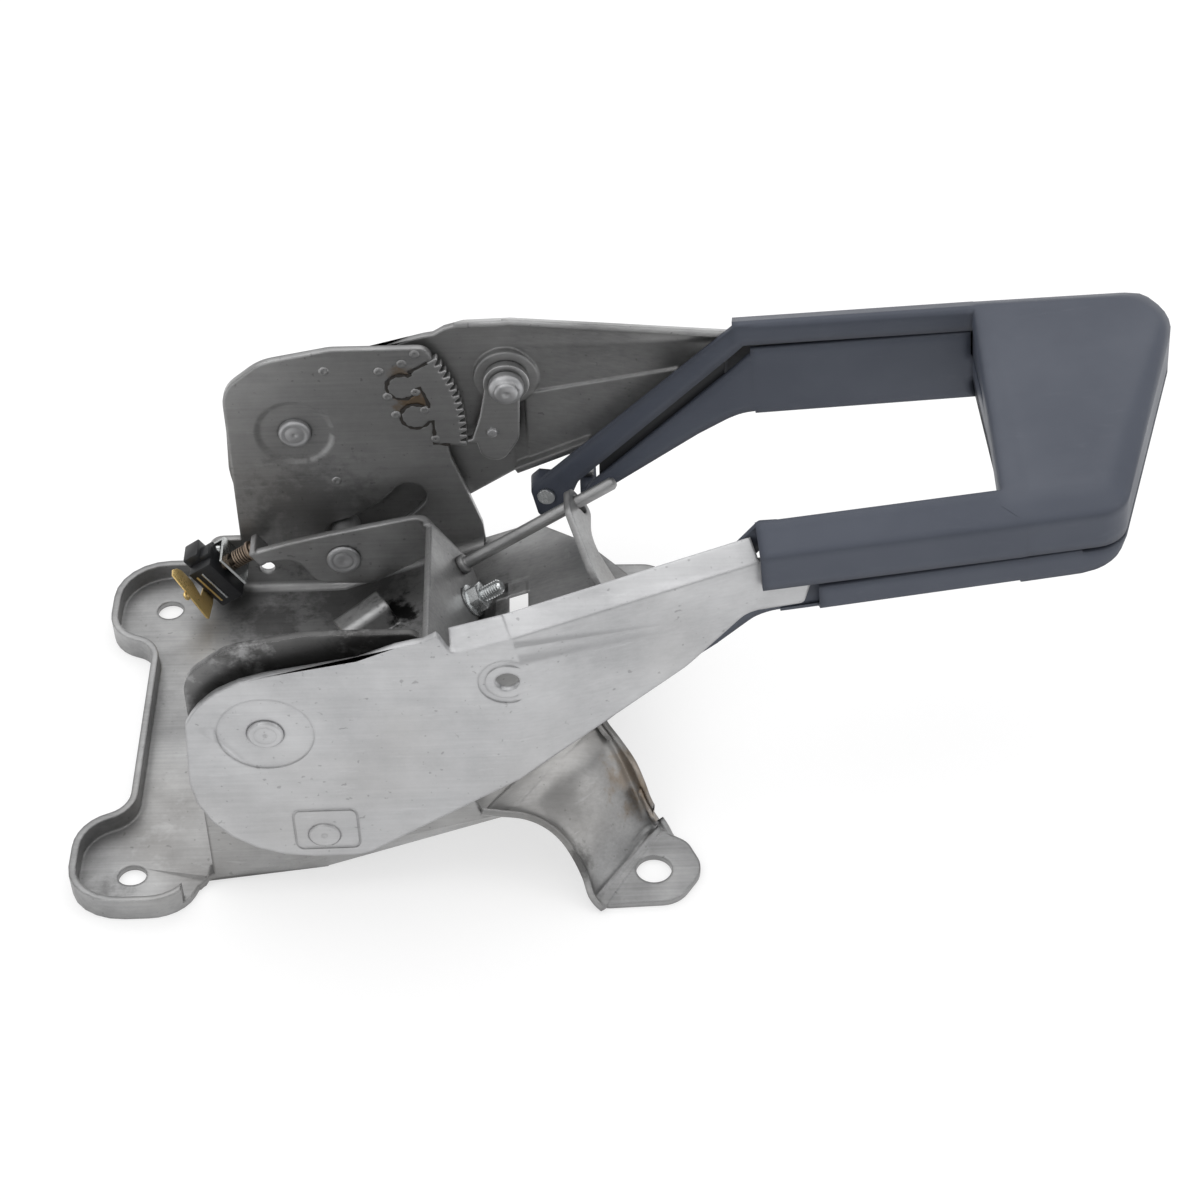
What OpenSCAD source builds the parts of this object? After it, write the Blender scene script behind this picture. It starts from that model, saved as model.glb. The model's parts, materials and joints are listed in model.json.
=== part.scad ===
// Parking brake lever: stamped base, toothed sector and pawl, pull yoke, U handle with a squeeze release.
// The origin is midway between the two rear mounting holes, on the mounting plane.
// Pieces are placed from the lever's own datum: x from the pivot, y from the lever's middle, z from the floor.

/* [Mounting] */
// Distance between the two rear mounting holes, across the base
bolt_spacing = 136; // [132:1:142]
// Distance between the two front mounting holes, across the base
front_spacing = 144; // [138:1:150]
// Distance from the rear bolt pair to the front bolt pair
bolt_reach = 182; // [178:1:188]
// Diameter of the two rear mounting holes
rear_hole_d = 10; // [8:0.5:12]
// Diameter of the two front mounting holes
front_hole_d = 12.5; // [9:0.5:14]

/* [Sheet] */
// Thickness of the pressed steel sheet
sheet_t = 2.5; // [2:0.1:3]
// Height of the turned-up lip round the rear of the base
lip_h = 9.5; // [6:0.5:14]
// Slope of the base floor towards the front legs
ramp_angle = 20; // [16:0.5:21]

/* [Lever] */
// Distance from the rear bolt pair to the lever pivot
pivot_x = 55; // [50:1:58]
// Height of the lever pivot above the mounting plane
pivot_z = 79.3; // [77:0.5:84]
// Sideways offset of the lever's middle from the bolt centreline
lever_y = 6; // [0:0.5:10]
// Half the width over the two arms at the pivot
arm_half_w = 82; // [81:0.5:88]
// Half the width over the two arms inside the handle
grip_half_w = 62; // [58:0.5:63]
// Travel of the lever from released to fully applied, in degrees
lever_travel = 34; // [20:1:36]

/* [Pins] */
// Diameter of the lever pivot pins
pivot_pin_d = 12; // [8:0.5:13]
// Diameter of the yoke pins
yoke_pin_d = 11; // [8:0.5:12]
// Diameter of the pawl pin's shank
pawl_pin_d = 9; // [6:0.5:10]
// Radial clearance of a pin in the part that turns on it
pin_play = 0.05; // [0.02:0.01:0.1]

/* [Ratchet] */
// Radius over the tooth tips, from the lever pivot
tooth_r = 64; // [63:0.5:65]
// Depth of a tooth
tooth_depth = 2.4; // [1.5:0.1:3]
// Number of teeth
tooth_count = 12; // [8:1:16]

/* [Yoke] */
// Half the width over the yoke's side plates
yoke_half_w = 61; // [58:0.5:64]
// Diameter of the guide rod
rod_d = 4; // [3:0.25:5]
// Length of the guide rod beyond the yoke plate
rod_len = 70; // [60:1:74]
// Diameter of the adjuster stud
stud_d = 6; // [5:0.5:8]

/* [Handle] */
// Slope of the handle against the mounting plane, in degrees
handle_pitch = 5; // [3:0.5:8]
// Angle by which each side of the handle runs inwards, in degrees
handle_taper = 3; // [1:0.5:4]
// Length of the handle from its rear end to the hand opening's front edge
opening_len = 83; // [78:1:92]
// Width of the crossbar at its narrow end
bar_narrow = 35; // [32:1:42]
// Width of the crossbar at its wide end
bar_wide = 70; // [60:1:74]
// Wall of the moulded handle covers
cover_wall = 2; // [1.6:0.1:2.6]
// Travel of the squeeze release, in degrees
release_travel = 0.8; // [0.4:0.1:1]

/* [Hidden] */
$fn = 64;
eps = 0.01;
corner_steps = 6;

// Lever datum: the base is centred on the bolt line, the lever lies to one side of it
base_y = -lever_y;
hole_y = bolt_spacing / 2;
front_y = front_spacing / 2;
front_x = bolt_reach - pivot_x;
rear_x = -pivot_x;

// Walls and arms from the outside in
arm_y = arm_half_w - sheet_t;
emboss_h = 1.6;
emboss_gap = 0.3;
wall_out_y = arm_y - 2 * emboss_h - emboss_gap;
wall_y = wall_out_y - sheet_t;
emboss_r = 15;

// Floor
ramp_x = 12;
plateau_x = 108;
plateau_end = max(123, front_x - 4);
shoulder_x = max(106, front_x - 21);
function ramp_z(x) = x < ramp_x ? 0 : tan(ramp_angle) * (min(x, plateau_x) - ramp_x);

// Yoke pin, and the straight pull from its first to its last place
yoke_r = 51.7;
yoke_rest = -73.2;
function yoke_pin_at(turn) = yoke_r * [cos(yoke_rest + turn), sin(yoke_rest + turn)];
pull = yoke_pin_at(lever_travel) - yoke_pin_at(0);
pull_angle = atan2(pull[1], pull[0]);
pull_sag = yoke_r * (1 - cos(lever_travel / 2));
yoke_pin_x = yoke_pin_at(0)[0];
yoke_pin_z = pivot_z + yoke_pin_at(0)[1];
slot_play = 1.2;

// Arms: the web turns in at toe_x and runs straight again inside the handle
toe_x = 82;
handle_x = 161;
handle_z = pivot_z + 54.4;
toe_angle = atan2(arm_half_w - grip_half_w, handle_x - toe_x);
flange_w = 9;
flange_angle = 30;

// Pawl
pawl_x = 79.5;
pawl_z = pivot_z + 20.7;
pawl_tip_angle = -5;
pawl_clear = 0.4;
pawl_t = 3;
tooth_pitch = lever_travel / tooth_count;

// Handle cover section, across and up from the bevel line
cover_y = grip_half_w + 0.5 + cover_wall;
inner_y = 51.5;
bevel_w = 10;
ridge_w = 5.5;
seam_out = -13.5;
seam_in = -3;
grip_out = -24;
grip_in = -33;
seam_gap = 0.5;
hinge_u = 103;
hinge_w = -19;
hinge_d = 5;
bar_end_near = opening_len + bar_narrow;
bar_end_far = opening_len + bar_wide;
function cover_at(u) = cover_y - u * tan(handle_taper);

steel = "#9a9894";
bright_steel = "#b9babb";
zinc = "#c9cccd";
slate = "#5c6069";
black = "#1c1f24";
brass = "#b08a45";

// Outlines: each point is [x, y, corner radius]
function unit(v) = v / norm(v);
function xy(p) = [p[0], p[1]];
function wrap(a) = (a + 540) % 360 - 180;
function corner(a, b, c, r) =
    let (u = unit(a - b), v = unit(c - b), half = acos(u * v) / 2)
    let (o = b + unit(u + v) * r / sin(half), s = b + u * r / tan(half), e = b + v * r / tan(half))
    let (from = atan2(s[1] - o[1], s[0] - o[0]), turn = wrap(atan2(e[1] - o[1], e[0] - o[0]) - from))
    [for (i = [0 : corner_steps]) o + r * [cos(from + turn * i / corner_steps), sin(from + turn * i / corner_steps)]];
function rounded(pts) =
    let (n = len(pts))
    [for (i = [0 : n - 1]) each pts[i][2] > 0
        ? corner(xy(pts[(i + n - 1) % n]), xy(pts[i]), xy(pts[(i + 1) % n]), pts[i][2])
        : [xy(pts[i])]];

// Outline moved inwards by d, for a counter-clockwise outline
function normal_in(a, b) = let (d = unit(b - a)) [-d[1], d[0]];
function turns_left(a, b, c) = (b[0] - a[0]) * (c[1] - b[1]) - (b[1] - a[1]) * (c[0] - b[0]) > 0;
function inset(pts, d) =
    let (n = len(pts))
    [for (i = [0 : n - 1])
        let (a = xy(pts[(i + n - 1) % n]), b = xy(pts[i]), c = xy(pts[(i + 1) % n]))
        let (p = normal_in(a, b), q = normal_in(b, c), m = b + d * (p + q) / (1 + p * q))
        [m[0], m[1], pts[i][2] == 0 ? 0 : max(0.3, pts[i][2] + (turns_left(a, b, c) ? -d : d))]];

// A side outline drawn in x and z, thickened across the lever from y0 to y1
module side_plate(y0, y1) {
    translate([0, y1, 0]) rotate([90, 0, 0]) linear_extrude(y1 - y0) children();
}

// A pin or bore along the lever's axis, from y0 to y1
module cross_pin(x, z, d, y0, y1) {
    translate([x, y1, z]) rotate([90, 0, 0]) cylinder(d = d, h = y1 - y0);
}

module at_lever() {
    translate([pivot_x, lever_y, 0]) children();
}

module both_sides() {
    children();
    mirror([0, 1, 0]) children();
}

// The near side has negative y, the far side positive
module near_side() {
    mirror([0, 1, 0]) children();
}

// Handle frame: u along the handle from its rear end, w up from the bevel line
module at_handle() {
    at_lever() translate([handle_x, 0, handle_z]) rotate([0, -handle_pitch, 0]) children();
}

// A cross-section drawn in y and w, run along the handle from u0 to u1
module along_handle(u0, u1) {
    translate([u0, 0, 0]) rotate([90, 0, 90]) linear_extrude(u1 - u0) children();
}

// The same on the far side, turned in by the taper about its outer rear corner
module along_side(u0, u1) {
    translate([0, cover_y, 0]) rotate([0, 0, -handle_taper]) translate([0, -cover_y, 0]) along_handle(u0, u1) children();
}

// Pull frame: x along the cable pull, z square to it, at the given place of the yoke
module at_pull(x, y, z) {
    at_lever() translate([x, y, z]) rotate([0, -pull_angle, 0]) children();
}

// Base plate

function floor_outline() = [
    [ramp_x + 1, -wall_out_y, 0], [ramp_x + 1, wall_out_y, 0], [-30, wall_out_y, 5],
    [-36, base_y + hole_y + 21, 8], [rear_x - 21, base_y + hole_y + 21, 20],
    [rear_x - 21, base_y + hole_y - 20, 16], [rear_x - 3, base_y + hole_y - 26, 10],
    [rear_x - 3, base_y - hole_y + 26, 10], [rear_x - 21, base_y - hole_y + 20, 16],
    [rear_x - 21, base_y - hole_y - 21, 20], [-36, base_y - hole_y - 21, 16], [-30, -wall_out_y, 6]
];

function ramp_outline() = [
    [ramp_x, -wall_out_y, 0], [88, -wall_out_y, 3], [shoulder_x, -57, 6], [plateau_end, -36, 8],
    [plateau_end, 36, 8], [shoulder_x, 57, 6], [88, wall_out_y, 3], [ramp_x, wall_out_y, 0]
];

module floor_sheet() {
    linear_extrude(sheet_t) polygon(rounded(floor_outline()));
    intersection() {
        linear_extrude(lip_h) difference() {
            polygon(rounded(floor_outline()));
            polygon(rounded(inset(floor_outline(), sheet_t)));
        }
        translate([rear_x - 40, -150, 0]) cube([pivot_x + 4, 300, lip_h]);
    }
}

// Sheet that follows the floor's rise, seen from the side
module ramp_profile(thick) {
    polygon([
        [0, 0], [ramp_x, 0], [plateau_x, ramp_z(plateau_x)], [plateau_end + 5, ramp_z(plateau_x)],
        [plateau_end + 5, ramp_z(plateau_x) + thick], [plateau_x, ramp_z(plateau_x) + thick],
        [ramp_x, thick], [0, thick]
    ]);
}

module ramp_sheet() {
    intersection() {
        side_plate(-100, 100) ramp_profile(sheet_t);
        linear_extrude(100) polygon(rounded(ramp_outline()));
    }
}

// Rounded opening in the floor in front of the yoke
module floor_window() {
    translate([79, 36, 0]) linear_extrude(80) polygon(rounded([[-6, -9, 3], [6, -9, 3], [6, 9, 3], [-6, 9, 3]]));
}

// Raised cable hood, open towards the front
louver_len = 20;
louver_w = 20;
louver_h = 9;
hood_turn = 29;
module louver_shape(grow) {
    rotate([90, 0, 90]) linear_extrude(louver_len + grow) polygon(rounded([
        [-louver_w / 2 - grow, -5, 0], [louver_w / 2 + grow, -5, 0],
        [louver_w / 2 - 4 + grow, louver_h + grow, 4], [-louver_w / 2 + 4 - grow, louver_h + grow, 4]
    ]));
}

module at_louver() {
    translate([ramp_x + 3, 40, sheet_t + 1]) rotate([0, -ramp_angle, 0]) rotate([0, 0, hood_turn]) children();
}

// Front leg: a strap that falls from the floor to a bolted pad, drawn along its own direction
leg_turn = -36;
leg_fold = -9;
leg_top = -33;
leg_rise = ramp_z(max(97, front_x - 30)) + sheet_t;
module at_leg() {
    translate([front_x, base_y - front_y, 0]) rotate([0, 0, leg_turn]) children();
}

module leg_profile(thick) {
    slope = atan2(leg_rise, leg_fold - leg_top);
    polygon([
        [leg_fold, 0], [20, 0], [20, thick], [leg_fold + thick * tan(slope / 2), thick],
        [leg_top + thick / sin(slope), leg_rise], [leg_top, leg_rise]
    ]);
}

function leg_outline() = [
    [-42, -13, 0], [-28, -9, 10], [-18, -14, 5], [-13, -22, 4], [-5, -22.5, 4], [15, -7, 11], [14.5, 10, 10],
    [3, 17, 8], [-9, 16.5, 6], [-42, 24, 0]
];

// Lips turned up along the sloping part's two edges
leg_lip = 4;
module leg_lips() {
    intersection() {
        side_plate(-40, 40) leg_profile(sheet_t + leg_lip);
        linear_extrude(100) difference() {
            polygon(rounded(leg_outline()));
            polygon(rounded(inset(leg_outline(), sheet_t)));
        }
        translate([-60, -40, -1]) cube([60 + leg_fold - 2, 80, 60]);
    }
}

module near_leg() {
    difference() {
        intersection() {
            at_leg() {
                intersection() {
                    side_plate(-40, 40) leg_profile(sheet_t);
                    linear_extrude(100) polygon(rounded(leg_outline()));
                }
                leg_lips();
            }
            side_plate(-150, 150) polygon([
                [0, -1], [200, -1], [200, ramp_z(plateau_x) + sheet_t], [plateau_x, ramp_z(plateau_x) + sheet_t],
                [ramp_x, sheet_t], [0, sheet_t]
            ]);
        }
        translate([front_x, base_y - front_y, -1]) cylinder(d = front_hole_d, h = sheet_t + 2);
    }
}

module far_leg() {
    translate([0, 2 * base_y, 0]) mirror([0, 1, 0]) near_leg();
}

// Upright wall, seen from the side
function wall_outline() = [
    [-26, 0, 0], [ramp_x, 0, 0], [69, ramp_z(69), 0], [68, 32, 3], [61.5, pivot_z - 26, 6],
    [57.5, pivot_z - 14, 6], [56, pivot_z - 4, 3], [52.5, pivot_z + 37.7, 5], [16, pivot_z + 38, 20],
    [-10, pivot_z + 33, 20], [-25, pivot_z + 21, 14]
];

// A slot of width w bent round the origin, with round ends
function polar(r, a) = r * [cos(a), sin(a)];
function arc_points(o, r, from, to, n) = [for (i = [0 : n]) o + polar(r, from + (to - from) * i / n)];
module arc_slot(r, from, to, w) {
    polygon(concat(
        arc_points([0, 0], r + w / 2, from, to, 16), arc_points(polar(r, to), w / 2, to + 18, to + 162, 8),
        arc_points([0, 0], r - w / 2, to, from, 16), arc_points(polar(r, from), w / 2, from + 198, from + 342, 8)
    ));
}

module wall_holes() {
    translate([0, pivot_z]) circle(d = pivot_pin_d);
    translate([0, pivot_z]) arc_slot(yoke_r, yoke_rest - 1, yoke_rest + lever_travel + 1, yoke_pin_d + 2 * slot_play);
}

module near_wall() {
    near_side() {
        difference() {
            union() {
                side_plate(wall_y, wall_out_y) difference() {
                    polygon(rounded(wall_outline()));
                    wall_holes();
                }
                pivot_emboss();
            }
            pivot_dish();
        }
    }
}

// The sheet is pressed outwards round the pivot: a boss on its outer face, a dish on its inner face
module pivot_emboss() {
    difference() {
        cross_pin(0, pivot_z, 2 * emboss_r, wall_out_y - eps, wall_out_y + emboss_h);
        cross_pin(0, pivot_z, pivot_pin_d, wall_y, wall_out_y + 2 * emboss_h);
    }
}

module pivot_dish() {
    translate([0, wall_y - eps, pivot_z]) rotate([-90, 0, 0])
        cylinder(d1 = 2 * emboss_r + 1, d2 = 2 * emboss_r - 5, h = emboss_h - 0.2);
}

// The far wall carries the toothed sector and the ear for the switch
ear_x = -41;
ear_z = 28;
module far_wall() {
    difference() {
        side_plate(wall_y, wall_out_y) difference() {
            union() {
                polygon(rounded(wall_outline()));
                polygon(rounded([[ear_x, 1, 3], [-20, 1, 0], [-20, ear_z, 0], [ear_x + 3, ear_z, 6]]));
            }
            wall_holes();
            translate([0, pivot_z]) sector_body(sector_seat);
            translate([-17, 13]) circle(d = 6);
        }
        side_plate(wall_y - 1, wall_y + 0.9) translate([0, pivot_z]) sector_body(sector_groove);
        pivot_dish();
    }
    pivot_emboss();
}

module base_plate() {
    color(steel) at_lever() difference() {
        union() {
            floor_sheet();
            ramp_sheet();
            near_wall();
            far_wall();
            near_leg();
            far_leg();
            at_louver() difference() {
                louver_shape(0);
                translate([2, 0, 0]) louver_shape_inner();
                translate([-5, -50, -20]) cube([100, 100, 20 - sheet_t / 2]);
            }
        }
        for (s = [-1, 1]) translate([rear_x, base_y + s * hole_y, -1]) cylinder(d = rear_hole_d, h = sheet_t + 2);
        floor_window();
    }
}

module louver_shape_inner() {
    translate([0, 0, -sheet_t]) rotate([90, 0, 90]) linear_extrude(louver_len + 2) polygon(rounded([
        [-louver_w / 2 + sheet_t, -5, 0], [louver_w / 2 - sheet_t, -5, 0],
        [louver_w / 2 - 4 - sheet_t / 2, louver_h, 3], [-louver_w / 2 + 4 + sheet_t / 2, louver_h, 3]
    ]));
}

// Toothed sector, let into the far wall like a jigsaw piece
sector_seat = 0.05;
sector_in = 52;
sector_from = pawl_tip_angle - 2;
sector_to = pawl_tip_angle + lever_travel + 2.5;
lobe_r = 5.5;
lobe_at = 46;
lobe_shares = [0.4, 0.87];
sector_groove = 0.35;
module sector_body(grow) {
    intersection() {
        difference() {
            circle(tooth_r + 10 * grow);
            circle(sector_in - grow);
        }
        polygon([
            [0, 0], 2 * tooth_r * [cos(sector_from), sin(sector_from)],
            2 * tooth_r * [cos((sector_from + sector_to) / 2), sin((sector_from + sector_to) / 2)],
            2 * tooth_r * [cos(sector_to), sin(sector_to)]
        ]);
    }
    for (share = lobe_shares) rotate(sector_from + (sector_to - sector_from) * share) {
        translate([lobe_at, 0]) circle(lobe_r + grow);
        translate([lobe_at, -lobe_r * 0.6 - grow]) square([sector_in - lobe_at + 2, lobe_r * 1.2 + 2 * grow]);
    }
}

// One saw-tooth gap, its steep flank facing the falling lever
module tooth_gap(angle) {
    rotate(angle) polygon([
        [tooth_r - tooth_depth, -0.35], [tooth_r - tooth_depth, 0.35],
        [tooth_r + 1, tooth_r * sin(tooth_pitch) * 0.8], [tooth_r + 1, -0.35]
    ]);
}

module ratchet_sector() {
    color(steel) at_lever() side_plate(wall_y - 0.3, wall_out_y + 0.3) translate([0, pivot_z]) difference() {
        sector_body(0);
        for (i = [0 : tooth_count]) tooth_gap(pawl_tip_angle + i * tooth_pitch);
    }
}

// Guide tab: an arched strip square to the pull, with a long hole for the guide rod
rod_y = yoke_half_w - 13;
rod_x = 60;
rod_z = 34;
tab_at = 51;
tab_w = 9;
rod_hole = rod_d / 2 + 0.5;
tab_drop = (rod_z + tab_at * sin(pull_angle) - ramp_z(plateau_x) - sheet_t) / cos(pull_angle);
tab_foot_x = rod_x + tab_at * cos(pull_angle) + tab_drop * sin(pull_angle);
module guide_tab() {
    color(bright_steel) at_lever() translate([tab_foot_x - 9, rod_y - 39, ramp_z(plateau_x) + sheet_t])
        cube([11, 16, sheet_t]);
    color(bright_steel) at_pull(rod_x, rod_y, rod_z) translate([tab_at, 0, 0]) difference() {
        rotate([90, 0, 90]) linear_extrude(sheet_t) polygon(rounded([
            [-38, -tab_drop + 0.6, 0], [-24, -tab_drop + 0.6, 0], [-14, -tab_w * 0.9, 12], [tab_w / 2, -tab_w, 4],
            [tab_w / 2, tab_w / 2 + 1, 4], [-tab_w, tab_w / 2 + 1, 8], [-32, -10, 16]
        ]));
        translate([-1, 0, 0]) rotate([90, 0, 90]) linear_extrude(sheet_t + 2) polygon(rounded([
            [-rod_hole, -rod_hole - pull_sag - 1, rod_hole - 0.1], [rod_hole, -rod_hole - pull_sag - 1, rod_hole - 0.1],
            [rod_hole, rod_hole, rod_hole - 0.1], [-rod_hole, rod_hole, rod_hole - 0.1]
        ]));
    }
}

module pivot_pins() {
    color(bright_steel) at_lever() both_sides()
        cross_pin(0, pivot_z, pivot_pin_d, wall_y - 1, arm_half_w + 0.6);
}

// Warning lamp switch on the far wall's ear, in line with the pull
switch_y = wall_y - 7.5;
switch_x = -19;
switch_z = 30;
shaft_d = 3.2;
bracket_at = -12;
housing_from = -36;
housing_to = -21;
blade_t = 0.8;
module at_switch() {
    at_pull(switch_x, switch_y, switch_z) children();
}

module switch_bracket() {
    color(zinc) at_switch() difference() {
        union() {
            translate([bracket_at, -6, -8]) cube([1.2, wall_y - switch_y + 6, 15]);
            translate([bracket_at - 9, wall_y - switch_y - 1.2, -2]) cube([9 + 1.2, 1.2, 9]);
        }
        translate([bracket_at - 1, 0, 0]) rotate([0, 90, 0]) cylinder(d = shaft_d + 0.8, h = 4);
        translate([bracket_at - 5, wall_y - switch_y + 1, 3]) rotate([90, 0, 0]) cylinder(d = 3, h = 4);
    }
}

module switch_rivet() {
    color(zinc) at_switch() translate([bracket_at - 5, wall_y - switch_y - 1.2, 3]) {
        rotate([90, 0, 0]) cylinder(d1 = 6, d2 = 3.5, h = 1.8);
        rotate([-90, 0, 0]) cylinder(d = 3, h = 1.2);
    }
}

module switch_housing() {
    color(black) at_switch() difference() {
        union() {
            translate([housing_from, -6, -8]) cube([housing_to - housing_from, wall_y - switch_y + 6, 14]);
            translate([housing_from + 3, -6, 6 - eps]) cube([6, wall_y - switch_y + 6, 3]);
        }
        translate([housing_from + 4, 0, 0]) rotate([0, 90, 0]) cylinder(d = shaft_d + 0.8, h = 30);
        translate([housing_from + 6, -7, -5]) cube([7, 3, 9]);
    }
}

module switch_terminal() {
    color(brass) at_switch() translate([housing_from - blade_t, 0, 0]) rotate([90, 0, 90]) linear_extrude(blade_t)
        difference() {
            polygon(rounded([
                [-12.5, -6, 0.6], [-6.2, -6, 0.6], [-6.2, -3, 0], [-1, -3, 0], [-1, 3, 0], [-4.5, 3, 0], [-4.5, 9, 1],
                [-9, 9, 1], [-9, 4.5, 0], [-12.5, 3, 1]
            ]));
            translate([-9.3, -2]) circle(d = 1.8);
        }
}

// Coil spring between the bracket and the plunger's cap
spring_turns = 6;
spring_r = 3.1;
spring_wire = 0.8;
spring_steps = 10;
module coil(r, wire, length, turns) {
    n = turns * spring_steps;
    sides = 5;
    function ring(i) = let (a = 360 * i / spring_steps, x = wire / 2 + (length - wire) * i / n)
        [for (k = [0 : sides - 1]) let (b = 360 * k / sides, q = r + wire / 2 * cos(b))
            [x + wire / 2 * sin(b), q * cos(a), q * sin(a)]];
    points = [for (i = [0 : n]) each ring(i)];
    skin = [for (i = [0 : n - 1], k = [0 : sides - 1]) let (a = i * sides + k, b = i * sides + (k + 1) % sides)
        each [[a, a + sides, b], [b, a + sides, b + sides]]];
    first = [[for (k = [0 : sides - 1]) k]];
    last = [[for (k = [sides - 1 : -1 : 0]) n * sides + k]];
    polyhedron(points, concat(skin, first, last));
}

cap_at = -3;
module switch_spring() {
    color("#7d6650") at_switch() translate([bracket_at + 1.2, 0, 0])
        coil(spring_r, spring_wire, cap_at - bracket_at - 1.2 - 0.05, spring_turns);
}

module switch_plunger() {
    color("#8d7b68") at_switch() {
        translate([housing_from + 12, 0, 0]) rotate([0, 90, 0]) cylinder(d = shaft_d, h = cap_at - housing_from - 12 + eps);
        translate([cap_at, 0, 0]) rotate([0, 90, 0]) cylinder(d = 8, h = 1.2);
        translate([cap_at + 1.2 - eps, 0, 0]) rotate([0, 90, 0]) cylinder(d1 = 5.5, d2 = 4, h = 1.6);
    }
}

// Arms

function web_top(x) = handle_z - 18.2 + (x - toe_x) * tan(10.6);
arm_end = handle_x + (opening_len + 9) * cos(handle_pitch);
arm_end_z = handle_z + (arm_end - handle_x) * tan(handle_pitch);
belly = [28, pivot_z - 59.3];
throat = [138, pivot_z + 11.7];
function bottom_z(x) = belly[1] + (x - belly[0]) * (throat[1] - belly[1]) / (throat[0] - belly[0]);
function arm_outline() = [
    [-27.3, belly[1] - 0.7, 38], [belly[0], belly[1] - 0.7, 14], [throat[0], throat[1], 30],
    [handle_x - 4, handle_z - 24.5, 8], [handle_x + 15, handle_z - 22, 2], [handle_x + 17, handle_z - 13, 2],
    [arm_end, arm_end_z - 16, 5], [arm_end, arm_end_z - 3, 5], [handle_x, web_top(handle_x), 8],
    [toe_x, web_top(toe_x), 20], [62, web_top(toe_x) - 2.5, 4], [57.5, pivot_z + 43.2, 4], [15, pivot_z + 35.7, 40],
    [-27.3, pivot_z + 25.5, 25]
];

// Plan of one arm's web: straight, turned in, then along the handle's side; d is the depth below the outer face
function arm_line() = [
    [-40, arm_half_w], [toe_x, arm_half_w], [handle_x, grip_half_w], [handle_x + 120, grip_half_w - 120 * tan(handle_taper)]
];
function side_in(a, b) = let (d = unit(b - a)) [d[1], -d[0]];
function arm_inside(d) =
    let (l = arm_line(), p = side_in(l[0], l[1]), q = side_in(l[1], l[2]), r = side_in(l[2], l[3]))
    [l[0] + d * p, l[1] + d * (p + q) / (1 + p * q), l[2] + d * (q + r) / (1 + q * r), l[3] + d * r];
module arm_plan(from, to) {
    a = arm_inside(from);
    b = arm_inside(to);
    polygon([a[0], a[1], a[2], a[3], b[3], b[2], b[1], b[0]]);
}

// A flange run along a web edge from a to b, drawn as seen along the edge
module edge_flange(a, b) {
    d = b - a;
    run = norm([d[0], d[1]]);
    translate(a) rotate([0, -atan2(d[2], run), atan2(d[1], d[0])]) rotate([90, 0, 90])
        linear_extrude(norm(d)) children();
}

module top_flange_section() {
    polygon([
        [0, -4], [0, 0], [-flange_w * cos(flange_angle), flange_w * sin(flange_angle)],
        [-flange_w * cos(flange_angle) - sheet_t * sin(flange_angle) * 0.6,
            flange_w * sin(flange_angle) - sheet_t * cos(flange_angle)], [-sheet_t, -1.6], [-sheet_t, -4]
    ]);
}

bottom_flange_w = 7;
module bottom_flange_section() {
    polygon([[0, 3], [-sheet_t, 3], [-sheet_t, sheet_t], [-bottom_flange_w, sheet_t], [-bottom_flange_w, 0], [0, 0]]);
}

function web_y(x) = arm_half_w - max(0, x - toe_x) * tan(toe_angle);
module arm_blank() {
    intersection() {
        side_plate(-10, 200) polygon(rounded(arm_outline()));
        linear_extrude(300) arm_plan(0, sheet_t);
    }
    edge_flange([62, arm_half_w, web_top(toe_x) - 2.5], [toe_x, arm_half_w, web_top(toe_x)]) top_flange_section();
    edge_flange([toe_x - 0.5, arm_half_w, web_top(toe_x)], [handle_x, grip_half_w, web_top(handle_x)])
        top_flange_section();
    edge_flange([toe_x + 2, web_y(toe_x + 2), bottom_z(toe_x + 2)], [112, web_y(112), bottom_z(112)]) bottom_flange_section();
    cross_pin(0, pivot_z, 2 * emboss_r + 4, arm_y - emboss_h, arm_y + eps);
}

module arm_holes() {
    cross_pin(0, pivot_z, pivot_pin_d + 2 * pin_play, arm_y - 3, arm_half_w + 3);
    cross_pin(0, pivot_z, 2 * emboss_r + 2, arm_half_w - 0.5, arm_half_w + 3);
    cross_pin(yoke_pin_x, yoke_pin_z, yoke_pin_d, arm_y - 3, arm_half_w + 3);
}

module near_arm() {
    color(bright_steel) at_lever() near_side() difference() {
        arm_blank();
        arm_holes();
        cross_pin(pawl_x, pawl_z, 8, arm_y - 3, arm_half_w + 3);
        difference() {
            cross_pin(pawl_x, pawl_z, 19, arm_half_w - 0.5, arm_half_w + 3);
            cross_pin(pawl_x, pawl_z, 14, arm_half_w - 1, arm_half_w + 3);
        }
        side_plate(arm_half_w - 0.4, arm_half_w + 1) translate([yoke_pin_x, yoke_pin_z]) difference() {
            polygon(rounded(pad_outline()));
            polygon(rounded(inset(pad_outline(), 1.2)));
        }
    }
}

function pad_outline() = [[-15, -7, 4], [17, -7, 4], [17, 13, 4], [-15, 13, 4]];

stud_turn = -125;
stud_r = 23;
stud_hole_x = pawl_x + stud_r * cos(stud_turn + 20);
stud_hole_z = pawl_z + stud_r * sin(stud_turn + 20);
pawl_stud_d = 4;
pawl_swing = 6;
pawl_emboss_d = 24;
joggle_h = 0.8;

// Step in the far arm's web, below a line that rises towards the handle
module arm_joggle() {
    intersection() {
        side_plate(-10, 200) polygon(rounded(arm_outline()));
        side_plate(-10, 200) polygon([
            [86, pivot_z + 12.7], [88, 0], [handle_x - 19, 0], [handle_x - 19, pivot_z + 33.2]
        ]);
        linear_extrude(300) arm_plan(sheet_t - eps, sheet_t + joggle_h);
    }
}

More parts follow.
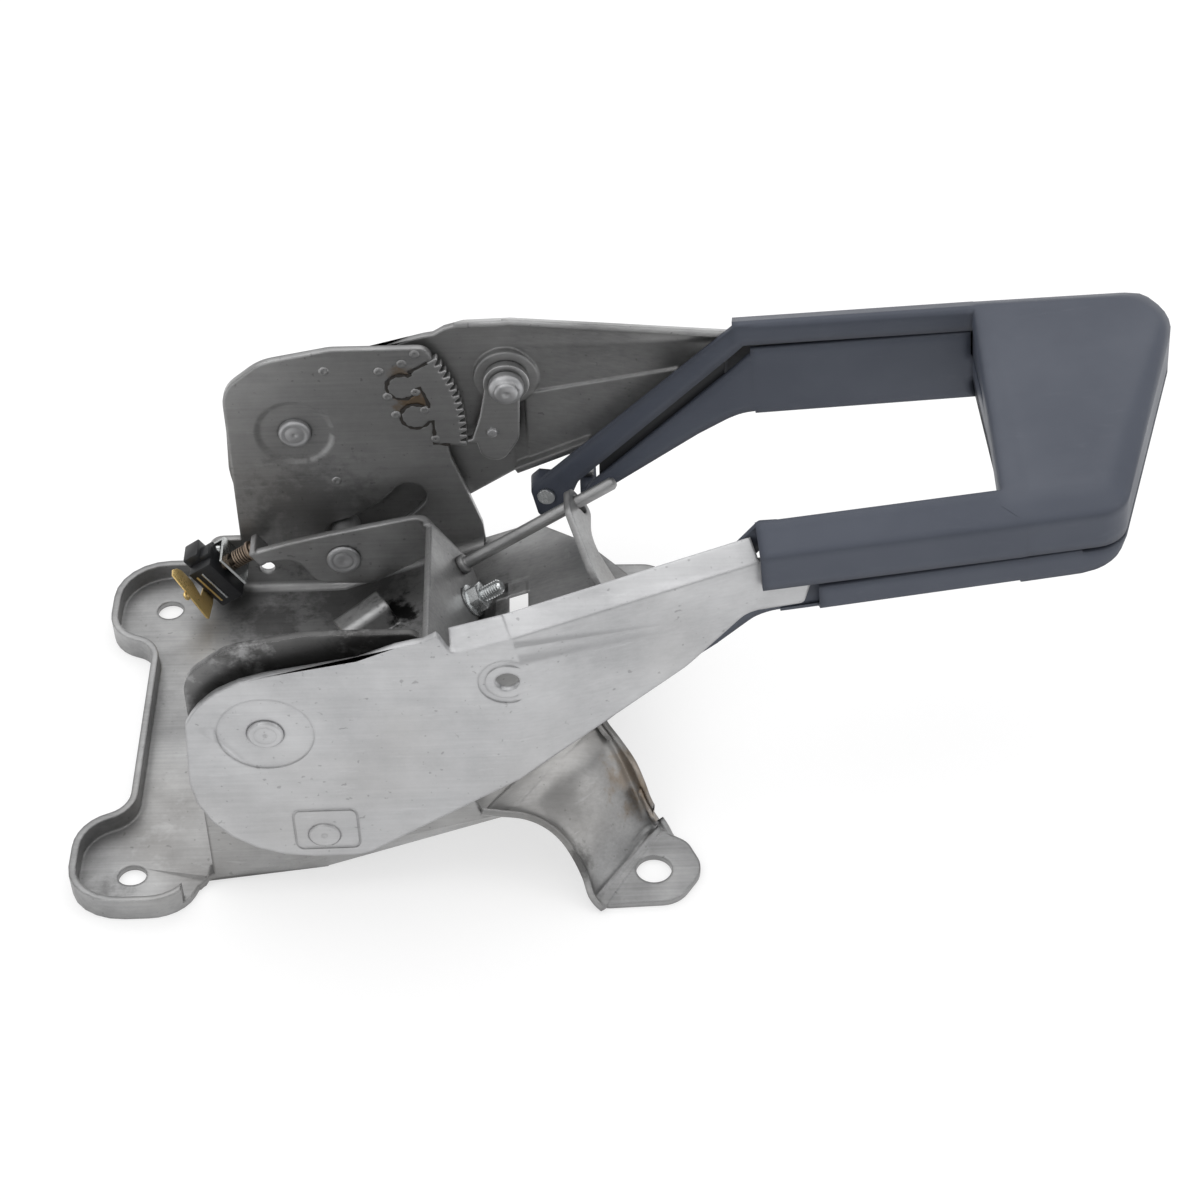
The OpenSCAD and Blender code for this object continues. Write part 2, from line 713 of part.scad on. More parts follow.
module far_arm() {
    color(steel) at_lever() difference() {
        union() {
            arm_blank();
            cross_pin(pawl_x, pawl_z, pawl_emboss_d, pawl_out + 0.4, arm_y + eps);
            arm_joggle();
        }
        arm_holes();
        cross_pin(pawl_x, pawl_z, pawl_pin_d, pawl_out, arm_half_w + 3);
        side_plate(pawl_out, arm_half_w + 1) translate([pawl_x, pawl_z])
            arc_slot(stud_r, stud_turn + 20 - pawl_swing, stud_turn + 20 + pawl_swing, pawl_stud_d + 2);
    }
}

yoke_head = 1.5;
module yoke_pins() {
    color(bright_steel) at_lever() both_sides() {
        cross_pin(yoke_pin_x, yoke_pin_z, yoke_pin_d, yoke_half_w - sheet_t - yoke_head, arm_half_w + 0.5);
        cross_pin(yoke_pin_x, yoke_pin_z, yoke_pin_d + 2, yoke_half_w - sheet_t - yoke_head, yoke_half_w - sheet_t - 0.3);
    }
}

// Pawl and its pin on the far arm
pawl_out = wall_out_y + 0.2;
pawl_in = pawl_out - pawl_t;
pawl_head_d = 13;
module pawl_pin() {
    color(bright_steel) at_lever() {
        cross_pin(pawl_x, pawl_z, pawl_pin_d, pawl_in - 1, arm_half_w + 0.6);
        cross_pin(pawl_x, pawl_z, pawl_head_d, pawl_in - 6.5, pawl_in - 0.3);
    }
}

pawl_tip_r = tooth_r + pawl_clear;
pawl_tip_x = pawl_tip_r * cos(pawl_tip_angle);
pawl_tip_z = pivot_z + pawl_tip_r * sin(pawl_tip_angle);
module pawl() {
    color(steel) at_lever() side_plate(pawl_in, pawl_out) difference() {
        union() {
            translate([pawl_x, pawl_z]) circle(8.5);
            polygon(rounded([
                [pawl_x - 8, pawl_z - 2, 0], [pawl_tip_x + 5, pawl_z - 15, 8], [pawl_tip_x + 1.8, pawl_tip_z + 0.8, 0],
                [pawl_tip_x, pawl_tip_z + 0.2, 0], [pawl_tip_x, pawl_tip_z - 0.4, 0],
                [pawl_tip_x + 3.4, pawl_tip_z - 0.8, 0], [pawl_tip_x + 5, pawl_z - 34, 5], [pawl_x - 3, pawl_z - 37, 5],
                [pawl_x + 4, pawl_z - 26, 9], [pawl_x + 5, pawl_z, 0]
            ]));
        }
        translate([pawl_x, pawl_z]) circle(d = pawl_pin_d + 2 * pin_play);
        translate([stud_hole_x, stud_hole_z]) circle(d = pawl_stud_d);
    }
}

finger_in = arm_half_w + 0.8;
finger_t = 2;
module pawl_stud() {
    color(bright_steel) at_lever() cross_pin(stud_hole_x, stud_hole_z, pawl_stud_d, pawl_in - 1, finger_in + finger_t + 0.8);
}

// Release finger on the arm's outer side, turning with the pawl
// Its foot stands just above the grip's ledge
ledge_x = 107;
ledge_z = pivot_z - 21.8;
ledge_gap = 0.5;
foot_x = ledge_x + 1;
foot_z = ledge_z + ledge_gap;
module pawl_finger() {
    color(steel) at_lever() {
        side_plate(finger_in, finger_in + finger_t) difference() {
            polygon(rounded([
                [stud_hole_x - 5, stud_hole_z + 5, 4], [stud_hole_x - 4, stud_hole_z - 6, 4], [foot_x - 6, foot_z, 3],
                [foot_x + 4, foot_z, 1], [foot_x + 4, foot_z + 8, 3], [stud_hole_x + 6, stud_hole_z + 6, 4]
            ]));
            translate([stud_hole_x, stud_hole_z]) circle(d = pawl_stud_d);
        }
        side_plate(web_y(foot_x) - 6, finger_in + finger_t / 2)
            translate([foot_x - 3, foot_z + 0.02]) square([6, 2]);
    }
}

// Handle

// Cross piece between the two arms, hidden in the crossbar
module handle_bridge() {
    in = arm_inside(sheet_t);
    color(bright_steel) at_lever() intersection() {
        translate([handle_x, 0, handle_z]) rotate([0, -handle_pitch, 0]) translate([opening_len + 4, -100, -10])
            cube([2.5, 200, 9]);
        linear_extrude(300) polygon([in[2], in[3], [in[3][0], -in[3][1]], [in[2][0], -in[2][1]]]);
    }
}

// Cover section over one arm: outer wall, bevel, ridge and short inner wall
module cover_section() {
    slope = atan2(ridge_w, bevel_w);
    drop = cover_wall / cos(slope);
    polygon([
        [cover_y, seam_out], [cover_y, 0], [cover_y - bevel_w, ridge_w], [inner_y + 1, ridge_w], [inner_y, ridge_w - 1],
        [inner_y, seam_in], [inner_y + cover_wall, seam_in], [inner_y + cover_wall, ridge_w - cover_wall],
        [cover_y - bevel_w, ridge_w - drop], [cover_y - cover_wall, -drop + cover_wall * tan(slope)],
        [cover_y - cover_wall, seam_out]
    ]);
}

// Plan of the crossbar, wider on the far side
function bar_outline(back, side, front) = [
    [opening_len + back, -cover_at(opening_len) + side, 0.5],
    [bar_end_near - front - 2, -cover_at(bar_end_near) + side, max(2, 12 - front)],
    [bar_end_far - front, cover_at(bar_end_far) - side - 12, max(2, 24 - front)],
    [bar_end_far - front - 12, cover_at(bar_end_far) - side, max(2, 14 - front)],
    [opening_len + back, cover_at(opening_len) - side, 0.5]
];

module bar_slab(w, h, back, side, front) {
    translate([0, 0, w]) linear_extrude(h) polygon(rounded(bar_outline(back, side, front)));
}

module upper_bar() {
    difference() {
        hull() {
            bar_slab(seam_out, -seam_out, 0, 0.15, 0);
            bar_slab(0, ridge_w * 0.64, 0.4, bevel_w * 0.6, 3);
            bar_slab(0, ridge_w - 0.04, 1, bevel_w, 7);
        }
        hull() {
            bar_slab(seam_out - 1, 1 - seam_out - cover_wall, cover_wall, cover_wall, cover_wall);
            bar_slab(-1, 0.8 + ridge_w - cover_wall, cover_wall + 1, bevel_w + 1, 7 + cover_wall);
        }
        both_sides() along_side(opening_len - 1, opening_len + 8) polygon([
            [inner_y + cover_wall + 0.1, seam_out - 1], [inner_y + cover_wall + 0.1, ridge_w - cover_wall - 0.7],
            [cover_y - bevel_w, ridge_w - cover_wall - 1], [cover_y - cover_wall - 0.1, -cover_wall],
            [cover_y - cover_wall - 0.1, seam_out - 1]
        ]);
    }
}

// Inner side plates turn out behind the handle: drawn in x and z, set on the turned plane
tail_angle = atan2(arm_half_w - grip_half_w - 5.8, handle_x - toe_x);
near_tail_x = 116;
tail_in = inner_y + 0.15;
module turned_plate(y0, y1) {
    back = toe_x - 20;
    out = (handle_x - back) * tan(tail_angle);
    in = 9 * tan(handle_taper);
    intersection() {
        side_plate(0, 120) children();
        linear_extrude(300) polygon([
            [handle_x + 9, y0 - in], [handle_x + 9, y1 - in], [handle_x, y1], [back, y1 + out], [back, y0 + out],
            [handle_x, y0]
        ]);
    }
}

block_x = 93;
block_z = pivot_z - 25;
block_y = tail_in + (handle_x - block_x) * tan(tail_angle);
block_t = 8;
screw_d = 3;
module strip_outline(from) {
    intersection() {
        polygon(rounded([
            [handle_x + 6, handle_z + seam_in + 1.6, 0], [handle_x + 6, handle_z + ridge_w, 0],
            [handle_x, handle_z + ridge_w, 2], [block_x - 6, block_z + 2, 3], [block_x - 3, block_z - 11, 2],
            [block_x + 6, block_z - 9, 3], [block_x + 12, block_z + 8, 8], [handle_x + 4, handle_z + seam_in + 1.2, 4]
        ]));
        translate([from, 0]) square([300, 300]);
    }
}

module at_screw() {
    translate([block_x, block_y, block_z]) rotate([0, 0, -tail_angle]) children();
}

// The far strip ends in a block with a screw, the near one is shorter
module far_strip() {
    difference() {
        union() {
            turned_plate(tail_in, tail_in + cover_wall) strip_outline(0);
            turned_plate(tail_in, tail_in + block_t) intersection() {
                strip_outline(0);
                translate([block_x - 10, block_z - 20]) square([16, 26]);
            }
        }
        at_screw() cross_pin(0, 0, screw_d + 0.1, -3, block_t + 3);
    }
}

module near_strip() {
    near_side() turned_plate(tail_in, tail_in + cover_wall) strip_outline(near_tail_x);
}

module upper_cover() {
    color(slate) {
        at_handle() {
            both_sides() along_side(0, opening_len + 2) cover_section();
            upper_bar();
            both_sides() hinge_boss();
        }
        at_lever() {
            far_strip();
            near_strip();
        }
    }
}

module cover_screw() {
    color(zinc) at_lever() at_screw() {
        cross_pin(0, 0, screw_d, -0.5, block_t - 1);
        cross_pin(0, 0, 6.8, -1.8, 0);
    }
}

// Lugs inside the crossbar that carry the release hinge
hinge_lug_y = 44;
hinge_lug_t = 4;
module hinge_boss() {
    translate([0, hinge_lug_y, 0]) rotate([90, 0, 0]) linear_extrude(hinge_lug_t) difference() {
        polygon(rounded([
            [hinge_u - 5, 3.8, 0], [hinge_u - 5, hinge_w - 5, 4.9], [hinge_u + 5, hinge_w - 5, 4.9], [hinge_u + 5, 3.8, 0]
        ]));
        translate([hinge_u, hinge_w]) circle(d = hinge_d);
    }
}

module hinge_pins() {
    color(bright_steel) at_handle() both_sides()
        cross_pin(hinge_u, hinge_w, hinge_d, hinge_lug_y - hinge_lug_t - 6, hinge_lug_y);
}

// Lower grip: a deep inner wall, a shallow outer wall and a sloping bottom, hinged at its front end
grip_start = 18;
module grip_section() {
    polygon([
        [cover_y, seam_out - seam_gap], [cover_y - cover_wall, seam_out - seam_gap], [cover_y - cover_wall, grip_out + cover_wall],
        [inner_y + cover_wall, grip_in + cover_wall], [inner_y + cover_wall, seam_in - seam_gap], [inner_y, seam_in - seam_gap],
        [inner_y, grip_in + 1], [inner_y + 1, grip_in], [cover_y - 1, grip_out], [cover_y, grip_out + 1]
    ]);
}

module lower_bar() {
    difference() {
        hull() {
            bar_slab(grip_out, seam_out - seam_gap - 0.15 - grip_out, 0, 0.15, 0);
            bar_slab(grip_in - 0.4, 5, 1, bevel_w, 10);
        }
        hull() {
            bar_slab(grip_out, 20, cover_wall, cover_wall, cover_wall);
            bar_slab(grip_in + cover_wall, 5, cover_wall + 1, bevel_w + 1, 10 + cover_wall);
        }
        both_sides() along_side(opening_len - 1, opening_len + 8) polygon([
            [inner_y + cover_wall + 0.1, seam_out + 1], [inner_y + cover_wall + 0.1, grip_in + 4],
            [cover_y - cover_wall - 0.1, grip_out + 2.5], [cover_y - cover_wall - 0.1, seam_out + 1]
        ]);
        translate([hinge_u, -100, seam_out - seam_gap - 1.1]) cube([100, 200, 20]);
    }
}

module grip_hinge_ear() {
    translate([0, hinge_lug_y - hinge_lug_t - 0.5, 0]) rotate([90, 0, 0]) linear_extrude(hinge_lug_t) difference() {
        polygon(rounded([
            [hinge_u - 5, grip_in + 1, 0], [hinge_u + 5, grip_in + 1, 0], [hinge_u + 5, hinge_w + 5, 4.9],
            [hinge_u - 5, hinge_w + 5, 4.9]
        ]));
        translate([hinge_u, hinge_w]) circle(d = hinge_d + 2 * pin_play);
    }
}

// The grip hangs open by its travel, so the seam is a wedge that closes when it is squeezed
module at_grip() {
    at_handle() translate([hinge_u, 0, hinge_w]) rotate([0, -release_travel, 0]) translate([-hinge_u, 0, -hinge_w]) children();
}

module grip_tail(from) {
    turned_plate(tail_in, tail_in + cover_wall) intersection() {
        polygon(rounded([
            [handle_x + 9, handle_z + grip_in + 1, 0], [handle_x + 9, handle_z + seam_in - 3.5, 0],
            [handle_x + 6, handle_z + seam_in - 3.5, 4], [block_x + 16, block_z + 6, 3], [block_x + 12, block_z - 4, 1.2],
            [handle_x - 12, handle_z - 44, 20], [handle_x + 2, handle_z + grip_in, 20]
        ]));
        translate([from, 0]) square([300, 300]);
    }
}

module release_ledge() {
    y0 = tail_in + (handle_x - ledge_x) * tan(tail_angle) + 0.5;
    side_plate(y0, arm_half_w - 2) translate([ledge_x - 1.2, ledge_z - 2.5]) square([6.2, 2.5]);
}

module release_grip() {
    color(slate) {
        at_grip() {
            both_sides() {
                difference() {
                    along_side(6, opening_len + 2) grip_section();
                    translate([-1, inner_y + cover_wall, -60]) cube([grip_start + 1, 50, 100]);
                    translate([opening_len - 0.6, 0, seam_out - seam_gap]) cube([20, 200, 40]);
                }
                grip_hinge_ear();
            }
            lower_bar();
        }
        at_lever() {
            grip_tail(0);
            near_side() grip_tail(near_tail_x + 4);
            release_ledge();
        }
    }
}

// Pull yoke: two side plates and a cross plate square to the pull

yoke_plate_top = 19;
yoke_plate_bottom = -11;
yoke_bend = 7;
function yoke_side_outline() = [
    [-18.5, yoke_pin_z - 1.5, 1.2], [-3, yoke_pin_z + 0.5, 8], [4, yoke_pin_z - 12, 8], [25, yoke_pin_z - 13, 10],
    [45, yoke_pin_z - 1, 6], [64, yoke_pin_z + 7, 0], [62, yoke_pin_z + 23.2, 0], [10, yoke_pin_z + 12, 20],
    [-6, yoke_pin_z + 8, 10], [-18.5, yoke_pin_z + 4, 1.2]
];

// The sheet seen square to its folds: two sides and the cross plate, with bent corners
function fold_line(d) = [
    [-140 - d, d - yoke_half_w, 0], [-d, d - yoke_half_w, yoke_bend - d], [-d, yoke_half_w - d, yoke_bend - d],
    [-140 - d, yoke_half_w - d, 0]
];
module yoke_fold() {
    translate([0, 0, -70]) linear_extrude(140) difference() {
        polygon(rounded(fold_line(0)));
        polygon(rounded(fold_line(sheet_t)));
    }
}

module yoke_plate() {
    translate([-yoke_bend - 1, 0, 0]) rotate([90, 0, 90]) linear_extrude(yoke_bend + 2) polygon(rounded([
        [-yoke_half_w - 1, 2, 0], [-yoke_half_w + 12, yoke_plate_bottom, 3], [yoke_half_w - 12, yoke_plate_bottom, 3],
        [yoke_half_w + 1, 2, 0], [yoke_half_w + 1, yoke_plate_top, 0], [-yoke_half_w - 1, yoke_plate_top, 0]
    ]));
}

stud_y = yoke_half_w - 27;
module yoke() {
    color(steel) at_lever() difference() {
        union() {
            intersection() {
                translate([rod_x, 0, rod_z]) rotate([0, -pull_angle, 0]) yoke_fold();
                both_sides() side_plate(yoke_half_w - yoke_bend - 0.5, yoke_half_w + 1) polygon(rounded(yoke_side_outline()));
            }
            translate([rod_x, 0, rod_z]) rotate([0, -pull_angle, 0]) intersection() {
                yoke_fold();
                yoke_plate();
            }
            translate([switch_x, yoke_half_w - sheet_t, switch_z]) rotate([0, -pull_angle, 0])
                translate([0.1, 0, -3.5]) cube([sheet_t, switch_y + 3.5 - yoke_half_w + sheet_t, 7]);
        }
        both_sides() cross_pin(yoke_pin_x, yoke_pin_z, yoke_pin_d + 2 * pin_play, yoke_half_w - 5, yoke_half_w + 2);
        translate([rod_x, rod_y, rod_z]) rotate([0, 90 - pull_angle, 0]) cylinder(d = rod_d, h = 20, center = true);
        translate([rod_x, stud_y, rod_z]) rotate([0, -pull_angle, 0]) translate([0, 0, -4]) rotate([0, 90, 0])
            cylinder(d = stud_d + 0.4, h = 20, center = true);
    }
}

module guide_rod() {
    color(bright_steel) at_pull(rod_x, rod_y, rod_z) rotate([0, 90, 0]) {
        translate([0, 0, -sheet_t - 1]) cylinder(d = rod_d, h = rod_len + sheet_t);
        translate([0, 0, rod_len - 1 - eps]) cylinder(d1 = rod_d, d2 = rod_d - 1.2, h = 1);
        cylinder(d = rod_d + 3.6, h = 2.6);
    }
}

module adjuster_stud() {
    color(zinc) at_pull(rod_x, stud_y, rod_z) translate([-12, 0, -4]) rotate([0, 90, 0]) cylinder(d = stud_d, h = 26);
}

nut_flats = 10;
nut_h = 6;
module adjuster_nut() {
    color(zinc) at_pull(rod_x, stud_y, rod_z) translate([0, 0, -4]) rotate([0, 90, 0]) difference() {
        union() {
            cylinder(d = nut_flats / cos(30), h = nut_h, $fn = 6);
            cylinder(d = nut_flats + 3, h = 1.4);
        }
        translate([0, 0, -1]) cylinder(d = stud_d, h = nut_h + 2);
    }
}

base_plate();
ratchet_sector();
guide_tab();
pivot_pins();
switch_bracket();
switch_housing();
switch_terminal();
switch_rivet();
switch_spring();
switch_plunger();
near_arm();
far_arm();
yoke_pins();
pawl_pin();
handle_bridge();
upper_cover();
cover_screw();
hinge_pins();
yoke();
guide_rod();
adjuster_stud();
adjuster_nut();
pawl();
pawl_stud();
pawl_finger();
release_grip();
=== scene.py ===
# %% [markdown]
# # A parking brake lever in bare pressed steel with a moulded handle
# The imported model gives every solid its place, and this lesson dresses it: camera, light, finishes and small pieces.
# Lengths are in metres, and the frame is the model's own, so nothing has to be fitted by eye.

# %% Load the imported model
import json
import math
import bmesh
import bpy
from mathutils import Matrix, Vector


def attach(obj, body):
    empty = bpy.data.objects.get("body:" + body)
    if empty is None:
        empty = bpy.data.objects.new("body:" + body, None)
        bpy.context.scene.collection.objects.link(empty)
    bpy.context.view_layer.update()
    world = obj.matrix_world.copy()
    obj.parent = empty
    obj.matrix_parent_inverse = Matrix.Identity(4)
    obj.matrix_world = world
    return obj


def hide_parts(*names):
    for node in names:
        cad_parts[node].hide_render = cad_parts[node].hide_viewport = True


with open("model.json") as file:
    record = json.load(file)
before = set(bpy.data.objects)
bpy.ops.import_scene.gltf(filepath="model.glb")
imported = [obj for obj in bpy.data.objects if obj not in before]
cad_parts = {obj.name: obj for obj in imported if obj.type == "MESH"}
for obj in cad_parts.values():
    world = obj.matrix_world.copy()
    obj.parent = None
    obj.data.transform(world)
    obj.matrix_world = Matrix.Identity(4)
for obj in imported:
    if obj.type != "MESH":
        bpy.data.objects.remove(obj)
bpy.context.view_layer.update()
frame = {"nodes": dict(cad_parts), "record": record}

# %% [markdown]
# ## Camera
# The picture was taken from about 43 degrees above, almost square to the lever's side, with a long lens.
# A long lens keeps the two arms nearly the same size, so the focal length matters as much as the place.

# %% Place the camera
camera_data = bpy.data.cameras.new("side_camera")
camera_data.lens = 72.84
camera_data.sensor_width = 36.0
camera_data.clip_start = 0.01
side_camera = bpy.data.objects.new("side_camera", camera_data)
side_camera.location = (0.15369, -0.62824, 0.64737)
side_camera.rotation_euler = [math.radians(a) for a in (47.1325, 0.6797, -1.7631)]
bpy.context.collection.objects.link(side_camera)
bpy.context.scene.camera = side_camera
bpy.context.scene.view_settings.view_transform = "Standard"
print("camera at", tuple(side_camera.location))

# %% [markdown]
# ## Floor and light
# Product pictures stand the part on white paper under a large soft light, so its shadows are short and pale.
# The paper is one plane, and the world is plain grey light that shows as white where a ray meets it directly.

# %% Paper floor
def finish_nodes(name):
    material = bpy.data.materials.new(name)
    material.use_nodes = True
    tree = material.node_tree
    return material, tree, tree.nodes["Principled BSDF"]


paper_mesh = bpy.data.meshes.new("paper_floor")
shape = bmesh.new()
bmesh.ops.create_grid(shape, x_segments=1, y_segments=1, size=4.0)
shape.to_mesh(paper_mesh)
shape.free()
paper_floor = bpy.data.objects.new("paper_floor", paper_mesh)
paper_floor.location.z = -0.0004
bpy.context.collection.objects.link(paper_floor)
paper, tree, paper_shader = finish_nodes("white_paper")
paper_shader.inputs["Base Color"].default_value = (0.42, 0.42, 0.42, 1)
paper_shader.inputs["Emission Color"].default_value = (1, 1, 1, 1)
paper_shader.inputs["Emission Strength"].default_value = 0.60
paper_shader.inputs["Roughness"].default_value = 0.9
paper_mesh.materials.append(paper)
print("floor laid under the base")

# %% [markdown]
# The part was lit by one wide soft lamp overhead and two weak ones that open up the shaded sides.
# A small strong lamp would burn the sloping flanges out to white, so the top panel is large and each panel is dim.
# White behind the part could come from more lamps, but then its colours would wash out: the world only looks white.

# %% Soft light
def soft_panel(name, place, aim, size, watts):
    lamp_data = bpy.data.lights.new(name, "AREA")
    lamp_data.shape = "RECTANGLE"
    lamp_data.size, lamp_data.size_y = size
    lamp_data.energy = watts
    lamp = bpy.data.objects.new(name, lamp_data)
    lamp.location = place
    lamp.rotation_euler = (Vector(aim) - Vector(place)).to_track_quat("-Z", "Y").to_euler()
    bpy.context.collection.objects.link(lamp)
    return lamp


centre = (0.15, 0.0, 0.06)
soft_panel("top_panel", (0.05, 0.35, 1.3), centre, (2.6, 2.0), 17)
soft_panel("front_panel", (-0.5, -1.2, 0.75), centre, (0.9, 0.7), 3)
soft_panel("right_panel", (1.2, -0.3, 0.6), centre, (0.5, 0.8), 2)

world = bpy.data.worlds.new("studio_air")
bpy.context.scene.world = world
world.use_nodes = True
air = world.node_tree
air.nodes.clear()
fill = air.nodes.new("ShaderNodeBackground")
fill.inputs["Color"].default_value = (1, 1, 1, 1)
fill.inputs["Strength"].default_value = 0.58
seen = air.nodes.new("ShaderNodeBackground")
seen.inputs["Color"].default_value = (1, 1, 1, 1)
seen.inputs["Strength"].default_value = 1.0
path = air.nodes.new("ShaderNodeLightPath")
direct = air.nodes.new("ShaderNodeMath")
direct.operation = "MAXIMUM"
air.links.new(path.outputs["Is Camera Ray"], direct.inputs[0])
air.links.new(path.outputs["Is Transmission Ray"], direct.inputs[1])
choose = air.nodes.new("ShaderNodeMixShader")
air.links.new(direct.outputs[0], choose.inputs["Fac"])
air.links.new(fill.outputs[0], choose.inputs[1])
air.links.new(seen.outputs[0], choose.inputs[2])
out = air.nodes.new("ShaderNodeOutputWorld")
air.links.new(choose.outputs[0], out.inputs["Surface"])
print("three soft panels and a plain world")

# %% [markdown]
# ## Shared surface effects
# Pressed sheet is never one grey: the rolls leave fine lines, hands and oil leave blotches, and tools leave scratches.
# Moulded plastic has a fine even grain. Each effect is one node group, placed in every finish that needs it.

# %% Helpers for node groups
def new_group(name, inputs, outputs):
    group = bpy.data.node_groups.new(name, "ShaderNodeTree")
    for label, kind, value in inputs:
        socket = group.interface.new_socket(label, in_out="INPUT", socket_type="NodeSocket" + kind)
        if value is not None:
            socket.default_value = value
    for label, kind in outputs:
        group.interface.new_socket(label, in_out="OUTPUT", socket_type="NodeSocket" + kind)
    return group, group.nodes.new("NodeGroupInput"), group.nodes.new("NodeGroupOutput")


def noise(tree, vector, scale, detail=3.0, rough=0.55):
    texture = tree.nodes.new("ShaderNodeTexNoise")
    texture.inputs["Scale"].default_value = scale
    texture.inputs["Detail"].default_value = detail
    texture.inputs["Roughness"].default_value = rough
    tree.links.new(vector, texture.inputs["Vector"])
    return texture.outputs["Fac"]


def stretch(tree, vector, scale):
    mapping = tree.nodes.new("ShaderNodeMapping")
    mapping.inputs["Scale"].default_value = scale
    tree.links.new(vector, mapping.inputs["Vector"])
    return mapping.outputs["Vector"]


def span(tree, value, low, high, to_low=0.0, to_high=1.0):
    node = tree.nodes.new("ShaderNodeMapRange")
    for socket, number in zip(("From Min", "From Max", "To Min", "To Max"), (low, high, to_low, to_high)):
        node.inputs[socket].default_value = number
    tree.links.new(value, node.inputs["Value"])
    return node.outputs["Result"]


def maths(tree, operation, a, b):
    node = tree.nodes.new("ShaderNodeMath")
    node.operation = operation
    for socket, value in zip(node.inputs, (a, b)):
        if isinstance(value, (int, float)):
            socket.default_value = value
        else:
            tree.links.new(value, socket)
    return node.outputs[0]


def blend_colours(tree, factor, a, b, mode="MIX"):
    node = tree.nodes.new("ShaderNodeMix")
    node.data_type = "RGBA"
    node.blend_type = mode
    for socket, value in ((node.inputs[0], factor), (node.inputs[6], a), (node.inputs[7], b)):
        if isinstance(value, (int, float, tuple)):
            socket.default_value = value
        else:
            tree.links.new(value, socket)
    return node.outputs[2]


print("helpers ready")

# %% [markdown]
# Pressed sheet mixes a light and a dark grey by blotches and rolling lines, then adds tinted stains and pale scuffs.
# Closed corners are darkened as painted shade, found by an occlusion test and broken up by a noise, and a few specks
# are scattered.

# %% Pressed sheet: rolling lines, blotches, scratches, painted corner shade
group, given, made = new_group(
    "pressed_sheet",
    [("Vector", "Vector", None), ("Light", "Color", (0.6, 0.6, 0.6, 1)), ("Dark", "Color", (0.3, 0.3, 0.3, 1)),
     ("Tint", "Color", (0.5, 0.45, 0.38, 1)), ("Gloss", "Float", 0.4)],
    [("Colour", "Color"), ("Roughness", "Float"), ("Height", "Float")])
where = given.outputs["Vector"]
blotch = span(group, noise(group, where, 26.0, 5.0, 0.62), 0.34, 0.68)
lines = noise(group, stretch(group, where, (30.0, 900.0, 900.0)), 1.0, 2.0, 0.5)
speck = noise(group, where, 1400.0, 2.0, 0.6)
scuff = span(group, noise(group, stretch(group, where, (60.0, 60.0, 340.0)), 1.0, 4.0, 0.7), 0.60, 0.70)
stain = span(group, noise(group, where, 9.0, 3.0, 0.5), 0.56, 0.74)
dots = span(group, noise(group, where, 520.0, 1.0, 0.4), 0.72, 0.78)
# An occlusion test finds the closed corners, and the darkening it drives is painted shade, broken up by a noise.
corner = group.nodes.new("ShaderNodeAmbientOcclusion")
corner.samples = 4
corner.inputs["Distance"].default_value = 0.014
shade = span(group, corner.outputs["AO"], 0.35, 0.95, 1.0, 0.0)
painted_corner_shade = maths(group, "MULTIPLY", shade, span(group, noise(group, where, 60.0, 4.0, 0.65), 0.35, 0.65, 0.35, 1.0))
mix = maths(group, "ADD", maths(group, "MULTIPLY", blotch, 0.55), maths(group, "MULTIPLY", lines, 0.45))
base = blend_colours(group, mix, given.outputs["Dark"], given.outputs["Light"])
base = blend_colours(group, maths(group, "MULTIPLY", stain, 0.45), base, given.outputs["Tint"])
base = blend_colours(group, maths(group, "MULTIPLY", scuff, 0.35), base, given.outputs["Light"])
base = blend_colours(group, maths(group, "MULTIPLY", dots, 0.30), base, (0.05, 0.048, 0.046, 1))
# Painted shade: closed corners are pulled towards near-black.
base = blend_colours(group, maths(group, "MULTIPLY", painted_corner_shade, 0.42), base, (0.055, 0.054, 0.052, 1))
group.links.new(base, made.inputs["Colour"])
rough = maths(group, "ADD", given.outputs["Gloss"], span(group, blotch, 0.0, 1.0, 0.10, -0.08))
rough = maths(group, "ADD", rough, span(group, speck, 0.3, 0.7, -0.05, 0.05))
group.links.new(rough, made.inputs["Roughness"])
height = maths(group, "ADD", maths(group, "MULTIPLY", lines, 0.4), maths(group, "MULTIPLY", speck, 0.35))
height = maths(group, "SUBTRACT", height, maths(group, "MULTIPLY", scuff, 0.35))
group.links.new(height, made.inputs["Height"])
pressed_sheet = group
print("group:", group.name)

# %% [markdown]
# The moulding's grain is one fine noise used as height, and a slow cloud and a stretched noise make the places that
# hands have polished, lighter in colour partly as painted sheen.

# %% Moulded skin: even grain with a few hand-polished places, lightened partly as painted sheen
group, given, made = new_group(
    "moulded_skin",
    [("Vector", "Vector", None), ("Colour", "Color", (0.1, 0.1, 0.12, 1)), ("Rubbed", "Color", (0.2, 0.2, 0.22, 1)),
     ("Gloss", "Float", 0.5)],
    [("Colour", "Color"), ("Roughness", "Float"), ("Height", "Float")])
where = given.outputs["Vector"]
grain = noise(group, where, 1700.0, 2.0, 0.6)
cloud = span(group, noise(group, where, 22.0, 4.0, 0.6), 0.35, 0.70)
rub_and_sheen = span(group, noise(group, stretch(group, where, (50.0, 180.0, 180.0)), 1.0, 4.0, 0.7), 0.60, 0.74)
